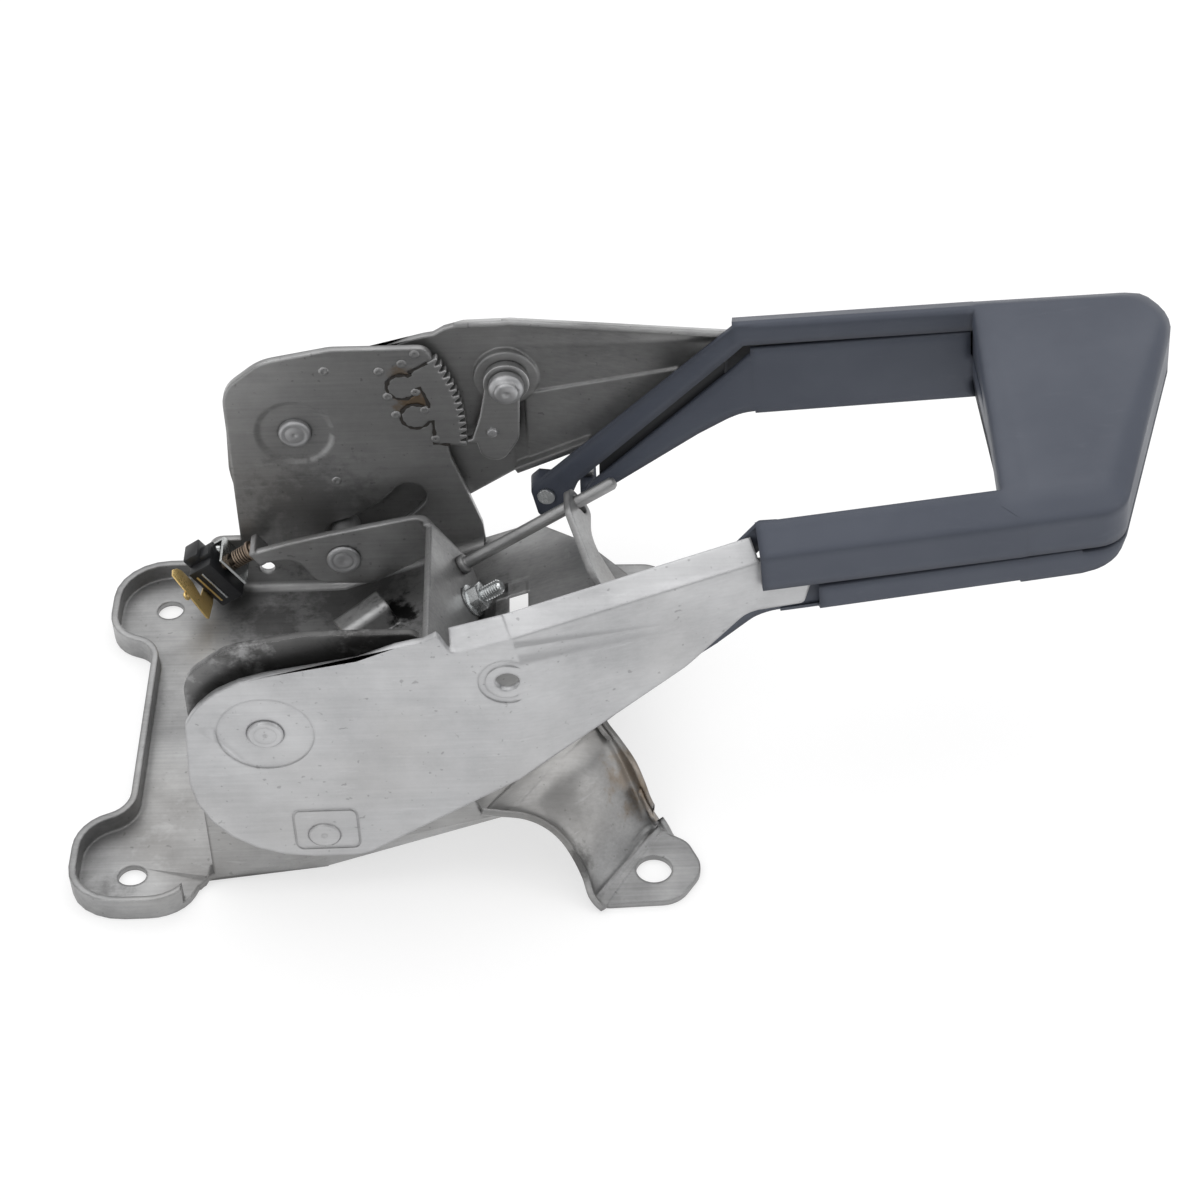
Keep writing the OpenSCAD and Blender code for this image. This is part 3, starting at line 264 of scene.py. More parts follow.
# The lighter polished colour is partly wear from hands and partly painted sheen.
skin = blend_colours(group, maths(group, "MULTIPLY", cloud, 0.35), given.outputs["Colour"], given.outputs["Rubbed"])
skin = blend_colours(group, maths(group, "MULTIPLY", rub_and_sheen, 0.30), skin, given.outputs["Rubbed"])
group.links.new(skin, made.inputs["Colour"])
rough = maths(group, "ADD", given.outputs["Gloss"], span(group, cloud, 0.0, 1.0, 0.05, -0.05))
rough = maths(group, "SUBTRACT", rough, maths(group, "MULTIPLY", rub_and_sheen, 0.08))
group.links.new(rough, made.inputs["Roughness"])
group.links.new(grain, made.inputs["Height"])
moulded_skin = group
print("group:", group.name)

# %% [markdown]
# Oil and rust lie in patches with a ragged rim. They could be painted by hand on a texture, but a patch that is
# worked out from a middle and a reach, with its rim broken up by noise, needs no picture and stays where it is put.

# %% Stain with a ragged rim
group, given, made = new_group(
    "stain_spot",
    [("Vector", "Vector", None), ("Middle", "Vector", (0, 0, 0)), ("Reach", "Float", 0.01)],
    [("Mask", "Float")])
apart = group.nodes.new("ShaderNodeVectorMath")
apart.operation = "DISTANCE"
group.links.new(given.outputs["Vector"], apart.inputs[0])
group.links.new(given.outputs["Middle"], apart.inputs[1])
share = maths(group, "DIVIDE", apart.outputs["Value"], given.outputs["Reach"])
uneven = span(group, noise(group, given.outputs["Vector"], 190.0, 5.0, 0.65), 0.3, 0.7, -0.45, 0.45)
ragged = maths(group, "ADD", share, uneven)
group.links.new(span(group, ragged, 0.45, 1.0, 1.0, 0.0), made.inputs["Mask"])
stain_spot = group
print("group:", group.name)

# %% [markdown]
# ## Finishes
# The base and far arm are a darker, slightly warm steel, and the near arm has a brighter face.
# Small hardware is zinc plated, the handle is slate plastic, and the lamp switch is black with a brass blade.

# %% Steel finishes
def add_effect(tree, shader, effect, bump_strength, bump_distance, soft=0.0, **values):
    place = tree.nodes.new("ShaderNodeTexCoord")
    node = tree.nodes.new("ShaderNodeGroup")
    node.node_tree = effect
    for label, value in values.items():
        node.inputs[label].default_value = value
    tree.links.new(place.outputs["Object"], node.inputs["Vector"])
    tree.links.new(node.outputs["Colour"], shader.inputs["Base Color"])
    tree.links.new(node.outputs["Roughness"], shader.inputs["Roughness"])
    bump = tree.nodes.new("ShaderNodeBump")
    bump.inputs["Strength"].default_value = bump_strength
    bump.inputs["Distance"].default_value = bump_distance
    tree.links.new(node.outputs["Height"], bump.inputs["Height"])
    if soft > 0:
        bend = tree.nodes.new("ShaderNodeBevel")
        bend.samples = 6
        bend.inputs["Radius"].default_value = soft
        tree.links.new(bend.outputs["Normal"], bump.inputs["Normal"])
    tree.links.new(bump.outputs["Normal"], shader.inputs["Normal"])


def steel_finish(name, light, dark, tint, gloss, metal=0.85, soft=0.0):
    material, tree, shader = finish_nodes(name)
    shader.inputs["Metallic"].default_value = metal
    add_effect(tree, shader, pressed_sheet, 0.25, 0.00012, soft,
               Light=(*light, 1), Dark=(*dark, 1), Tint=(*tint, 1), Gloss=gloss)
    return material


GREY_SHEET = ((0.45, 0.45, 0.45), (0.21, 0.21, 0.212), (0.25, 0.235, 0.215), 0.40)
BRIGHT_SHEET = ((0.56, 0.562, 0.57), (0.38, 0.382, 0.39), (0.42, 0.41, 0.40), 0.42)
SHEET_ROUND = 0.0015
finishes = {
    "grey_steel": steel_finish("grey_steel", *GREY_SHEET, soft=SHEET_ROUND),
    "bright_steel": steel_finish("bright_steel", *BRIGHT_SHEET, soft=SHEET_ROUND),
    "zinc_plate": steel_finish("zinc_plate", (0.78, 0.80, 0.80), (0.60, 0.62, 0.63), (0.62, 0.64, 0.60), 0.25, 1.0),
    "brass": steel_finish("brass_blade", (0.82, 0.60, 0.25), (0.64, 0.45, 0.17), (0.50, 0.34, 0.12), 0.34, 0.7),
    "spring_wire": steel_finish("spring_wire", (0.36, 0.28, 0.21), (0.20, 0.155, 0.12), (0.18, 0.13, 0.10), 0.40),
}
print("metals:", sorted(finishes))

# %% [markdown]
# The base has had oil and rust on it: dark smears on the near wall and floor, and brown ones at the sector and the leg.
# Two near-black patches by the hood's mouth are painted shade for its dark opening.
# Each stain is a middle and a reach in mm, a paint and a strength, so a patch is moved by changing one line.

# %% Stained steel for the base
def add_stains(material, stains):
    tree = material.node_tree
    shader = tree.nodes["Principled BSDF"]
    colour = shader.inputs["Base Color"].links[0].from_socket
    place = tree.nodes.new("ShaderNodeTexCoord")
    for middle, reach, paint, strength in stains:
        spot = tree.nodes.new("ShaderNodeGroup")
        spot.node_tree = stain_spot
        spot.inputs["Middle"].default_value = [m / 1000 for m in middle]
        spot.inputs["Reach"].default_value = reach / 1000
        tree.links.new(place.outputs["Object"], spot.inputs["Vector"])
        colour = blend_colours(tree, maths(tree, "MULTIPLY", spot.outputs["Mask"], strength), colour, (*paint, 1))
    tree.links.new(colour, shader.inputs["Base Color"])


OIL, RUST, HOOD_MOUTH_SHADE = (0.045, 0.044, 0.043), (0.20, 0.13, 0.065), (0.008, 0.008, 0.008)
base_steel = steel_finish("base_steel", *GREY_SHEET, soft=SHEET_ROUND)
add_stains(base_steel, [
    ((70, -70, 112), 30, OIL, 0.75), ((100, -70, 114), 24, OIL, 0.8), ((42, -70, 98), 22, OIL, 0.55),
    ((100, 79.4, 92.5), 9, RUST, 0.8), ((97, 79.4, 104), 6, RUST, 0.6), ((72, 74, 6), 26, OIL, 0.5),
    ((40, 60, 3), 16, OIL, 0.5), ((112, 40, 24), 24, OIL, 0.5), ((60, 79.5, 40), 30, OIL, 0.35),
    ((176, -48, 26), 12, RUST, 0.45), ((180, -54, 16), 9, RUST, 0.45), ((150, -66, 30), 16, OIL, 0.15),
    # Painted shade: two near-black patches stand in for the dark opening of the hood's mouth.
    ((88.4, 54.2, 10.3), 9, HOOD_MOUTH_SHADE, 0.97), ((92.5, 52.5, 12), 7, HOOD_MOUTH_SHADE, 0.97),
    ((-6, -74, 8), 9, OIL, 0.4), ((158, -78, 15), 7, OIL, 0.6),
])
print("stains laid on", base_steel.name)

# %% [markdown]
# The handle is a slate blue moulding and the switch a black one, both with a dull, even skin.
# They share one effect and differ only in colour and gloss; the handle's normals are also softened over a few mm,
# because its corners are rounder than a small bevel would show.

# %% Plastic finishes
def plastic_finish(name, colour, rubbed_sheen, gloss, soft=0.0):
    material, tree, shader = finish_nodes(name)
    shader.inputs["Specular IOR Level"].default_value = 0.4
    add_effect(tree, shader, moulded_skin, 0.18, 0.00008, soft,
               Colour=(*colour, 1), Rubbed=(*rubbed_sheen, 1), Gloss=gloss)
    return material


# Each plastic's second colour is its lighter polished tone, partly painted sheen.
finishes["slate_plastic"] = plastic_finish("slate_plastic", (0.052, 0.060, 0.082), (0.079, 0.090, 0.117), 0.46, 0.005)
finishes["black_plastic"] = plastic_finish("black_plastic", (0.012, 0.013, 0.015), (0.03, 0.03, 0.032), 0.42)
print("finishes:", sorted(finishes))

# %% [markdown]
# ## Dress the solids
# Every solid that is already the right shape stays, and only its finish and its edges change.
# The record names the finish of each node, so one loop covers them all.

# %% Give each node its finish
slot_of = {item["node"]: item["material_slot"] for item in frame["record"]["subparts"]}
for name, node in frame["nodes"].items():
    node.data.materials.clear()
    node.data.materials.append(finishes[slot_of[name]])
frame["nodes"]["guide_tab"].data.materials[0] = finishes["grey_steel"]
print("dressed", len(slot_of), "nodes")

# %% [markdown]
# ## Pieces made anew
# Small turned and coiled hardware is faceted in the solids, so it is made again here with finer rounds.
# Each new piece takes the place of its solid, keeps its size and rides with the same body.

# %% Helpers for pieces
LEVER = Vector((0.055, 0.006, 0.0))
PULL = Matrix.Rotation(-math.radians(33.7987), 4, "Y")


def lever_point(x, y, z):
    """A point in mm from the lever's pivot line and the mounting plane, in the model's metres."""
    return LEVER + Vector((x, y, z)) / 1000


def in_lever(co):
    """The lever's own mm for a point of the model."""
    return (co - LEVER) * 1000


def points_of(geom):
    return [item for item in geom if isinstance(item, bmesh.types.BMVert)]


def edges_of(geom):
    return [item for item in geom if isinstance(item, bmesh.types.BMEdge)]


def place_piece(name, shape, slot, body, replaced=(), sharp=38, finish=None):
    mesh = bpy.data.meshes.new(name)
    shape.to_mesh(mesh)
    shape.free()
    mesh.materials.append(finish or finishes[slot])
    mesh.shade_smooth()
    mesh.set_sharp_from_angle(angle=math.radians(sharp))
    piece = bpy.data.objects.new(name, mesh)
    bpy.context.collection.objects.link(piece)
    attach(piece, body)
    if replaced:
        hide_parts(*replaced)
    print(name, "has", len(mesh.polygons), "faces")
    return piece


def turn_profile(shape, profile, where, steps=40):
    """Spin (radius, along) points in mm about the local Y axis, then move them by the matrix."""
    fresh = bmesh.new()
    points = [fresh.verts.new((r / 1000, a / 1000, 0)) for r, a in profile]
    edges = [fresh.edges.new(pair) for pair in zip(points, points[1:])]
    bmesh.ops.spin(fresh, geom=points + edges, cent=(0, 0, 0), axis=(0, 1, 0), dvec=(0, 0, 0),
                   angle=2 * math.pi, steps=steps, use_merge=True, use_duplicate=False)
    bmesh.ops.remove_doubles(fresh, verts=fresh.verts, dist=0.000002)
    bmesh.ops.recalc_face_normals(fresh, faces=fresh.faces)
    add_shape(shape, fresh, where)


def add_shape(shape, fresh, where=Matrix.Identity(4)):
    bmesh.ops.transform(fresh, matrix=where, verts=fresh.verts)
    carrier = bpy.data.meshes.new("carrier")
    fresh.to_mesh(carrier)
    fresh.free()
    shape.from_mesh(carrier)
    bpy.data.meshes.remove(carrier)


def coil_wire(shape, radius, wire, start, length, turns, where, steps=24, sides=10):
    """A round wire spun about the local Y axis while it climbs along it."""
    fresh = bmesh.new()
    ring = []
    for i in range(sides):
        a = 2 * math.pi * i / sides
        out, up = radius + wire / 2 * math.cos(a), start + wire / 2 * math.sin(a)
        ring.append(fresh.verts.new((out / 1000, up / 1000, 0)))
    edges = [fresh.edges.new((ring[i], ring[(i + 1) % sides])) for i in range(sides)]
    fresh.faces.new(ring)
    last = bmesh.ops.spin(fresh, geom=ring + edges, cent=(0, 0, 0), axis=(0, 1, 0), angle=2 * math.pi * turns,
                          dvec=(0, length / 1000 / (turns * steps), 0), steps=turns * steps,
                          use_merge=False, use_duplicate=False)
    bmesh.ops.contextual_create(fresh, geom=points_of(last["geom_last"]) + edges_of(last["geom_last"]))
    bmesh.ops.recalc_face_normals(fresh, faces=fresh.faces)
    add_shape(shape, fresh, where)


print("piece helpers ready")

# %% [markdown]
# ### Pins
# A pin is turned on a lathe: a chamfer at each end, a shallow ring from the parting tool and a centre mark.
# The yoke's pins have a wide inner head, and the pawl's pin has a stepped one.

# %% Pivot pins and yoke pins
def pin_ends(radius, start, end, ring=0.62):
    """A pin's profile from end to end, with a centre mark and a tool ring on both faces."""
    def face(at, inward):
        return [(0, at + inward * 0.5), (0.7, at + inward * 0.25), (0.9, at), (radius * ring - 0.3, at),
                (radius * ring, at + inward * 0.18), (radius * ring + 0.3, at)]
    side = [(radius - 0.7, start), (radius, start + 0.7), (radius, end - 0.7), (radius - 0.7, end)]
    return face(start, 1) + side + face(end, -1)[::-1]


shape = bmesh.new()
for side in (1, -1):
    start, end = sorted((side * 72.5, side * 82.6))
    turn_profile(shape, pin_ends(6.0, start, end), Matrix.Translation(lever_point(0, 0, 79.3)))
place_piece("turned_pivot_pins", shape, "bright_steel", "base", ("pivot_pins",))

shape = bmesh.new()
for side in (1, -1):
    head = [(0, 57.3), (1.0, 57.15), (1.3, 57.0), (3.4, 57.0), (3.7, 57.25), (4.3, 57.25), (4.6, 57.0), (5.7, 57.0),
            (6.5, 57.5), (6.5, 58.2), (5.5, 58.2), (5.5, 81.9), (4.9, 82.5), (1.2, 82.5), (0.9, 82.2), (0, 82.1)]
    turn_profile(shape, [(r, side * a) for r, a in head], Matrix.Translation(lever_point(14.943, 0, 29.806)))
place_piece("turned_yoke_pins", shape, "bright_steel", "lever", ("yoke_pins",))

# %% [markdown]
# The pawl turns on a pin with a stepped head. It could be stacked from cylinders, but one spun profile keeps
# every step and chamfer in a single list, and the list reads from the head to the riveted end.

# %% Pawl pin
shape = bmesh.new()
head = [(0, 67.1), (1.0, 67.0), (1.3, 66.7), (3.6, 66.7), (4.4, 67.2), (4.6, 68.6), (5.6, 68.8), (6.5, 69.7),
        (6.5, 72.4), (6.0, 72.9), (4.5, 72.9), (4.5, 82.1), (4.0, 82.6), (0, 82.6)]
turn_profile(shape, head, Matrix.Translation(lever_point(79.5, 0, 100.0)))
place_piece("turned_pawl_pin", shape, "bright_steel", "lever", ("pawl_pin",))

# %% [markdown]
# ### Adjuster
# A thread is a groove that climbs as it turns, so one V of the profile is spun while it moves along the stud.
# The nut is a hexagon with its corners turned off, on a thin flange that spreads its load.

# %% Threaded stud
stud_place = Matrix.Translation(lever_point(60, 34, 34)) @ PULL @ Matrix.Translation((0, 0, -0.0068)) \
    @ Matrix.Rotation(-math.pi / 2, 4, "Z")
shape = bmesh.new()
turn_profile(shape, [(0, -12), (1.9, -12), (2.52, -11.3), (2.52, 13.3), (1.9, 14), (0, 14)], stud_place)
thread = bmesh.new()
pitch, turns, steps = 1.0, 24, 20
groove = ((2.45, -11.4), (2.98, -11.0), (2.98, -10.88), (2.45, -10.48))
crest = [thread.verts.new((r / 1000, a / 1000, 0)) for r, a in groove]
runs = [thread.edges.new(pair) for pair in zip(crest, crest[1:])]
bmesh.ops.spin(thread, geom=crest + runs, cent=(0, 0, 0), axis=(0, 1, 0), angle=2 * math.pi * turns,
               dvec=(0, pitch / 1000 / steps, 0), steps=turns * steps, use_merge=False, use_duplicate=False)
bmesh.ops.recalc_face_normals(thread, faces=thread.faces)
add_shape(shape, thread, stud_place)
place_piece("threaded_stud", shape, "zinc_plate", "yoke", ("adjuster_stud",))

# %% [markdown]
# The guide rod is a plain turned rod with a collar against the yoke and a chamfered end.

# %% Guide rod
rod_place = Matrix.Translation(lever_point(60, 48, 34)) @ PULL @ Matrix.Rotation(-math.pi / 2, 4, "Z")
shape = bmesh.new()
turn_profile(shape, [(0, -3.5), (1.6, -3.5), (2.0, -3.1), (2.0, 0), (3.4, 0), (3.8, 0.4), (3.8, 2.2), (3.3, 2.6),
                     (2.4, 2.6), (2.4, 68.8), (1.7, 70), (0, 70)], rod_place)
place_piece("turned_rod", shape, "bright_steel", "yoke", ("guide_rod",), finish=finishes["grey_steel"])

# %% [markdown]
# The nut is a six-sided tube on a turned flange. Its upper edge is drawn in by two extrusions, for the chamfer and
# the rim of the thread, and its six corners are bevelled because a rolled bar is never sharp.

# %% Flange nut
shape = bmesh.new()
turn_profile(shape, [(3.1, 0), (6.2, 0), (6.5, 0.3), (6.5, 0.9), (5.4, 1.5), (3.1, 1.5)], stud_place)
body = bmesh.new()
bmesh.ops.create_cone(body, cap_ends=False, segments=6, radius1=0.0057735, radius2=0.0057735, depth=0.0044)
high = [v for v in body.verts if v.co.z > 0]
rim = bmesh.ops.extrude_edge_only(body, edges=[e for e in body.edges if all(v in high for v in e.verts)])
lip = points_of(rim["geom"])
for v in lip:
    v.co = Vector((v.co.x * 0.82, v.co.y * 0.82, v.co.z + 0.0005))
rim = bmesh.ops.extrude_edge_only(body, edges=[e for e in body.edges if all(v in lip for v in e.verts)])
for v in points_of(rim["geom"]):
    v.co = Vector((v.co.x * 0.66, v.co.y * 0.66, v.co.z))
walls = [e for e in body.edges if abs(e.verts[0].co.z - e.verts[1].co.z) > 0.003]
bmesh.ops.bevel(body, geom=walls, offset=0.0005, offset_type="OFFSET", segments=2, profile=0.5,
                affect="EDGES", material=-1)
bmesh.ops.recalc_face_normals(body, faces=body.faces)
add_shape(shape, body, stud_place @ Matrix.Translation((0, 0.0033, 0)) @ Matrix.Rotation(-math.pi / 2, 4, "X"))
place_piece("flange_nut", shape, "zinc_plate", "yoke", ("adjuster_nut",), sharp=30)

# %% [markdown]
# ### Lamp switch
# Its spring is one oiled wire wound round the plunger, and a domed rivet holds the bracket to the wall's ear.
# Thin strips stand in the black housing, where the contact blades run.

# %% Coil spring and rivet
switch_place = Matrix.Translation(lever_point(-19, 66, 30)) @ PULL
along = Matrix.Rotation(-math.pi / 2, 4, "Z")
shape = bmesh.new()
coil_wire(shape, 3.1, 0.8, -10.35, 6.85, 6, switch_place @ along)
place_piece("wound_spring", shape, "spring_wire", "plunger", ("switch_spring",), sharp=60)

shape = bmesh.new()
dome = [(0, -1.8), (0.8, -1.74), (1.6, -1.5), (2.3, -1.1), (2.8, -0.5), (3.0, 0), (1.5, 0), (1.5, 1.2), (0, 1.2)]
turn_profile(shape, dome, switch_place @ Matrix.Translation((-0.017, 0.0063, 0.003)))
place_piece("domed_rivet", shape, "zinc_plate", "base", ("switch_rivet",), sharp=50)

# %% [markdown]
# The housing is three black blocks moulded as one, with a steel and a brass contact strip set into its face.
# A cube that is scaled, moved and bevelled on all its edges gives each block, which is quicker than cutting one solid.

# %% Housing and contact strips
def soft_bar(shape, size, centre, where, width=0.00025):
    fresh = bmesh.new()
    bmesh.ops.create_cube(fresh, size=1.0)
    bmesh.ops.scale(fresh, vec=Vector(size) / 1000, verts=fresh.verts)
    bmesh.ops.translate(fresh, vec=Vector(centre) / 1000, verts=fresh.verts)
    bmesh.ops.bevel(fresh, geom=fresh.edges[:], offset=width, offset_type="OFFSET", segments=2, profile=0.5,
                    affect="EDGES", material=-1)
    add_shape(shape, fresh, where)


shape = bmesh.new()
soft_bar(shape, (10.4, 13.5, 20.0), (-21.2, 0.75, -2.0), switch_place, 0.0006)
soft_bar(shape, (7.0, 9.0, 5.0), (-23.0, 3.0, 9.5), switch_place, 0.0006)
soft_bar(shape, (4.4, 6.0, 3.0), (-17.6, 1.0, 8.6), switch_place, 0.0005)
place_piece("switch_body", shape, "black_plastic", "base", ("switch_housing",))
shape = bmesh.new()
soft_bar(shape, (0.9, 1.6, 15.0), (-21.6, -5.6, -1.8), switch_place, 0.0002)
place_piece("contact_strip", shape, "zinc_plate", "base")
shape = bmesh.new()
soft_bar(shape, (0.8, 1.4, 14.8), (-24.4, -5.6, -2.0), switch_place, 0.0002)
place_piece("brass_strip", shape, "brass", "base")

# %% [markdown]
# The spade blade is stamped from thin brass with a hook at its end and a raised ring round its hole.
# Its outline is one face that is pushed out to the sheet's thickness, as the stamping tool does it the other way round.

# %% Brass blade
outline = [(-11.5, 15.3), (-8.6, 15.6), (-6.2, 13.6), (-5.1, 11.0), (-5.7, 4.8), (-8.6, 0.2), (-9.2, -0.4),
           (-8.4, -0.7), (-1.1, -1.8), (-0.8, -7.3), (-6.9, -7.6), (-16.8, -6.6), (-17.4, -5.6)]
shape = bmesh.new()
blade = bmesh.new()
blade.faces.new([blade.verts.new((-0.0272, y / 1000, z / 1000)) for y, z in outline])
bmesh.ops.recalc_face_normals(blade, faces=blade.faces)
grown = bmesh.ops.extrude_face_region(blade, geom=blade.faces[:])
for v in points_of(grown["geom"]):
    v.co.x -= 0.0007
bmesh.ops.recalc_face_normals(blade, faces=blade.faces)
bmesh.ops.bevel(blade, geom=[e for e in blade.edges if e.calc_face_angle(0.0) > 1.2], offset=0.00015,
                offset_type="OFFSET", segments=2, profile=0.5, affect="EDGES", material=-1)
add_shape(shape, blade, switch_place)
turn_profile(shape, [(0.8, -0.4), (1.5, -0.5), (1.8, 0.0), (1.5, 0.5), (0.8, 0.4), (0.8, -0.4)],
             switch_place @ Matrix.Translation((-0.0278, -0.0150, 0.0062)) @ along, 20)
place_piece("brass_blade", shape, "brass", "base", ("switch_terminal",), sharp=40)

# %% [markdown]
# ### Stake marks
# The sector is held in the wall by a punch that spreads the metal along the joint, which leaves small ringed dents.
# Two more dents are left on the wall by the press tool's pilots.

# %% Punch the stakes round the sector
stakes = [(88.3, 107.3), (96.8, 110.5), (101.8, 114.7), (90.8, 95.7), (93.3, 87.0), (101.1, 97.4), (104.0, 88.9),
          (107.3, 75.1)]
dent = [(0, -0.04), (0.5, -0.09), (0.8, -0.24), (1.1, -0.32), (1.4, -0.28), (1.7, -0.08), (1.9, 0.2)]
shape = bmesh.new()
for x, z in stakes:
    turn_profile(shape, dent, Matrix.Translation((x / 1000, 0.0792, z / 1000)), 24)
for x, z in ((68.3, 108.0), (68.7, 56.0)):
    turn_profile(shape, [(r * 1.1, a) for r, a in dent], Matrix.Translation((x / 1000, 0.0795, z / 1000)), 24)
place_piece("stake_marks", shape, "grey_steel", "base", sharp=70)

# %% [markdown]
# ### Bends in the sheet
# Sheet can't be folded to a sharp corner, so the floor meets the far wall in a small round, which a strip shows.
# The strip follows the floor: flat at the rear, then up the ramp.

# %% Fillet between floor and far wall
def fillet(shape, path, side, radius=3.2, steps=6):
    fresh = bmesh.new()
    rows = []
    for x, y, z in path:
        row = []
        for i in range(steps + 1):
            a = math.pi / 2 * i / steps
            out, up = radius * (1 - math.sin(a)), radius * (1 - math.cos(a))
            row.append(fresh.verts.new(lever_point(x, y - side * out, z + up)))
        rows.append(row)
    for a, b in zip(rows, rows[1:]):
        for i in range(steps):
            fresh.faces.new((a[i], a[i + 1], b[i + 1], b[i]))
    bmesh.ops.recalc_face_normals(fresh, faces=fresh.faces)
    fresh.faces.ensure_lookup_table()
    if fresh.faces[0].normal.z < 0:
        bmesh.ops.reverse_faces(fresh, faces=fresh.faces)
    add_shape(shape, fresh)


rise = math.tan(math.radians(20))
path = [(-27.0, 2.5), (6.0, 2.5), (12.5, 2.7), (18.0, 2.5 + 6.0 * rise + 0.1), (68.0, 2.5 + 56.0 * rise)]
shape = bmesh.new()
fillet(shape, [(x, 73.5, z) for x, z in path], 1)
place_piece("floor_fillet", shape, "grey_steel", "base", sharp=40)

# %% [markdown]
# ### Rounder arm ends
# The arms' rear ends are large rounds with only a few steps in the solids, which show in the outline.
# A copy of each arm has those few edges cut again into finer ones, and its rear upper edge runs lower than the wall's.

# %% Copy the arms with finer rounds
def copy_of(name):
    fresh = bmesh.new()
    fresh.from_mesh(frame["nodes"][name].data)
    bmesh.ops.remove_doubles(fresh, verts=fresh.verts, dist=0.00001)
    bmesh.ops.dissolve_limit(fresh, angle_limit=math.radians(1.0), use_dissolve_boundaries=False,
                             verts=fresh.verts, edges=fresh.edges)
    return fresh


def slice_at(shape, at, normal):
    """Cut the faces along a plane and keep both sides."""
    bmesh.ops.bisect_plane(shape, geom=shape.verts[:] + shape.edges[:] + shape.faces[:], dist=0.000001,
                           plane_co=at, plane_no=normal)


def flatten_faces(shape):
    """Split the faces that are no longer flat, so that their shading stays clean."""
    bmesh.ops.connect_verts_nonplanar(shape, angle_limit=math.radians(1), faces=shape.faces[:])


def across_edges(shape, low, high, keep):
    """The edges that run across the sheet and turn by an angle between low and high degrees."""
    chosen = []
    for edge in shape.edges:
        if len(edge.link_faces) != 2:
            continue
        a, b = edge.verts[0].co, edge.verts[1].co
        angle = math.degrees(edge.calc_face_angle(0.0))
        if abs((b - a).normalized().y) > 0.95 and low < angle < high and keep((a + b) / 2):
            chosen.append(edge)
    return chosen


print("helpers for copies ready")

# %% [markdown]
# The arm's rear edge falls in one long curve from the flange to the round end, below the wall's own edge.
# Cutting the sheet again would leave a ragged rim, so the rim's points are drawn in along rays from the arm's middle.

# %% Line of the rear edge
ARM_MIDDLE = Vector((5.0, 75.0))
ARM_TOP = [(-27.8, 75.1), (-25.2, 84.9), (-21.7, 91.2), (-15.2, 98.0), (-6.8, 102.7), (2.4, 105.5), (22.9, 109.3),
           (34.2, 111.6), (41.2, 115.4), (48.0, 117.6), (53.6, 118.5), (58.2, 121.4)]


def rear_reach(angle):
    """How far the rear edge lies from the arm's middle in a direction, in degrees, or None beyond its ends."""
    ray = Vector((math.cos(math.radians(angle)), math.sin(math.radians(angle))))
    for start, end in zip(ARM_TOP, ARM_TOP[1:]):
        a, run = Vector(start) - ARM_MIDDLE, Vector(end) - Vector(start)
        cross = ray.x * run.y - ray.y * run.x
        along = (a.x * ray.y - a.y * ray.x) / cross if abs(cross) > 1e-9 else -1
        if 0 <= along <= 1:
            return (a + run * along).length
    return None


PIVOT, YOKE_PIN = lever_point(0, 0, 79.3), lever_point(14.94, 0, 29.8)


def shape_rear_edge(shape):
    """Bring the rear upper edge in to its line and draw the pad round the yoke's pin in."""
    long_edges = []
    for edge in shape.edges:
        ends = [in_lever(v.co) for v in edge.verts]
        if all(e.z > 96 and -20 < e.x < 60 for e in ends) and (ends[1] - ends[0]).length > 8:
            long_edges.append(edge)
    bmesh.ops.subdivide_edges(shape, edges=long_edges, cuts=6)
    for v in shape.verts:
        at = in_lever(v.co)
        out = Vector((at.x, at.z)) - ARM_MIDDLE
        limit = rear_reach(math.degrees(math.atan2(out.y, out.x))) if out.y > 0 else None
        if limit and out.length > limit and (v.co - PIVOT).xz.length > 0.0185:
            out *= limit / out.length
            v.co.x, v.co.z = LEVER.x + (out.x + ARM_MIDDLE.x) / 1000, (out.y + ARM_MIDDLE.y) / 1000
        away = (v.co - YOKE_PIN) * 1000
        if away.xz.length > 7.5 and abs(away.x - 1) < 17 and -8 < away.z < 14:
            v.co.x = YOKE_PIN.x + (1.0 + (away.x - 1.0) * 0.70) / 1000


print("rear edge runs through", len(ARM_TOP), "points")

# %% [markdown]
# The top flange stiffens the arm. On the real lever it runs straighter than the solid's, and on the far side higher,
# so the points above the bend are lifted by an amount that fades towards the handle.

# %% Lift the top flange and place both arms
FLANGE_START, FLANGE_KNEE, FLANGE_END = 62, 82, 161
PAWL_PIN = Vector((79.5, 100.0))


def lift_flange(shape, name):
    """The far arm's top flange runs almost level, and the near one has no dip where it starts to slope."""
    for v in shape.verts:
        at = in_lever(v.co)
        bend = 115.5 + (at.x - FLANGE_KNEE) * 0.187
        if name == "near_arm":
            if at.x > FLANGE_START and at.z > bend - 5:
                grown = min(at.x - FLANGE_START, 20) / 20
                v.co.z += 0.0035 * grown * max(0.0, FLANGE_END - max(at.x, FLANGE_KNEE)) / 79
        elif 58 < at.x < 65.5 and at.y > 79 and at.z > 112.5:
            v.co.z = 0.1211 + (at.x - 57.7) * 0.0003
        elif at.x > 61 and at.z > bend - 6 and (at.xz - PAWL_PIN).length > 14:
            v.co.z += 0.0105 * max(0.0, FLANGE_END - at.x) / 102


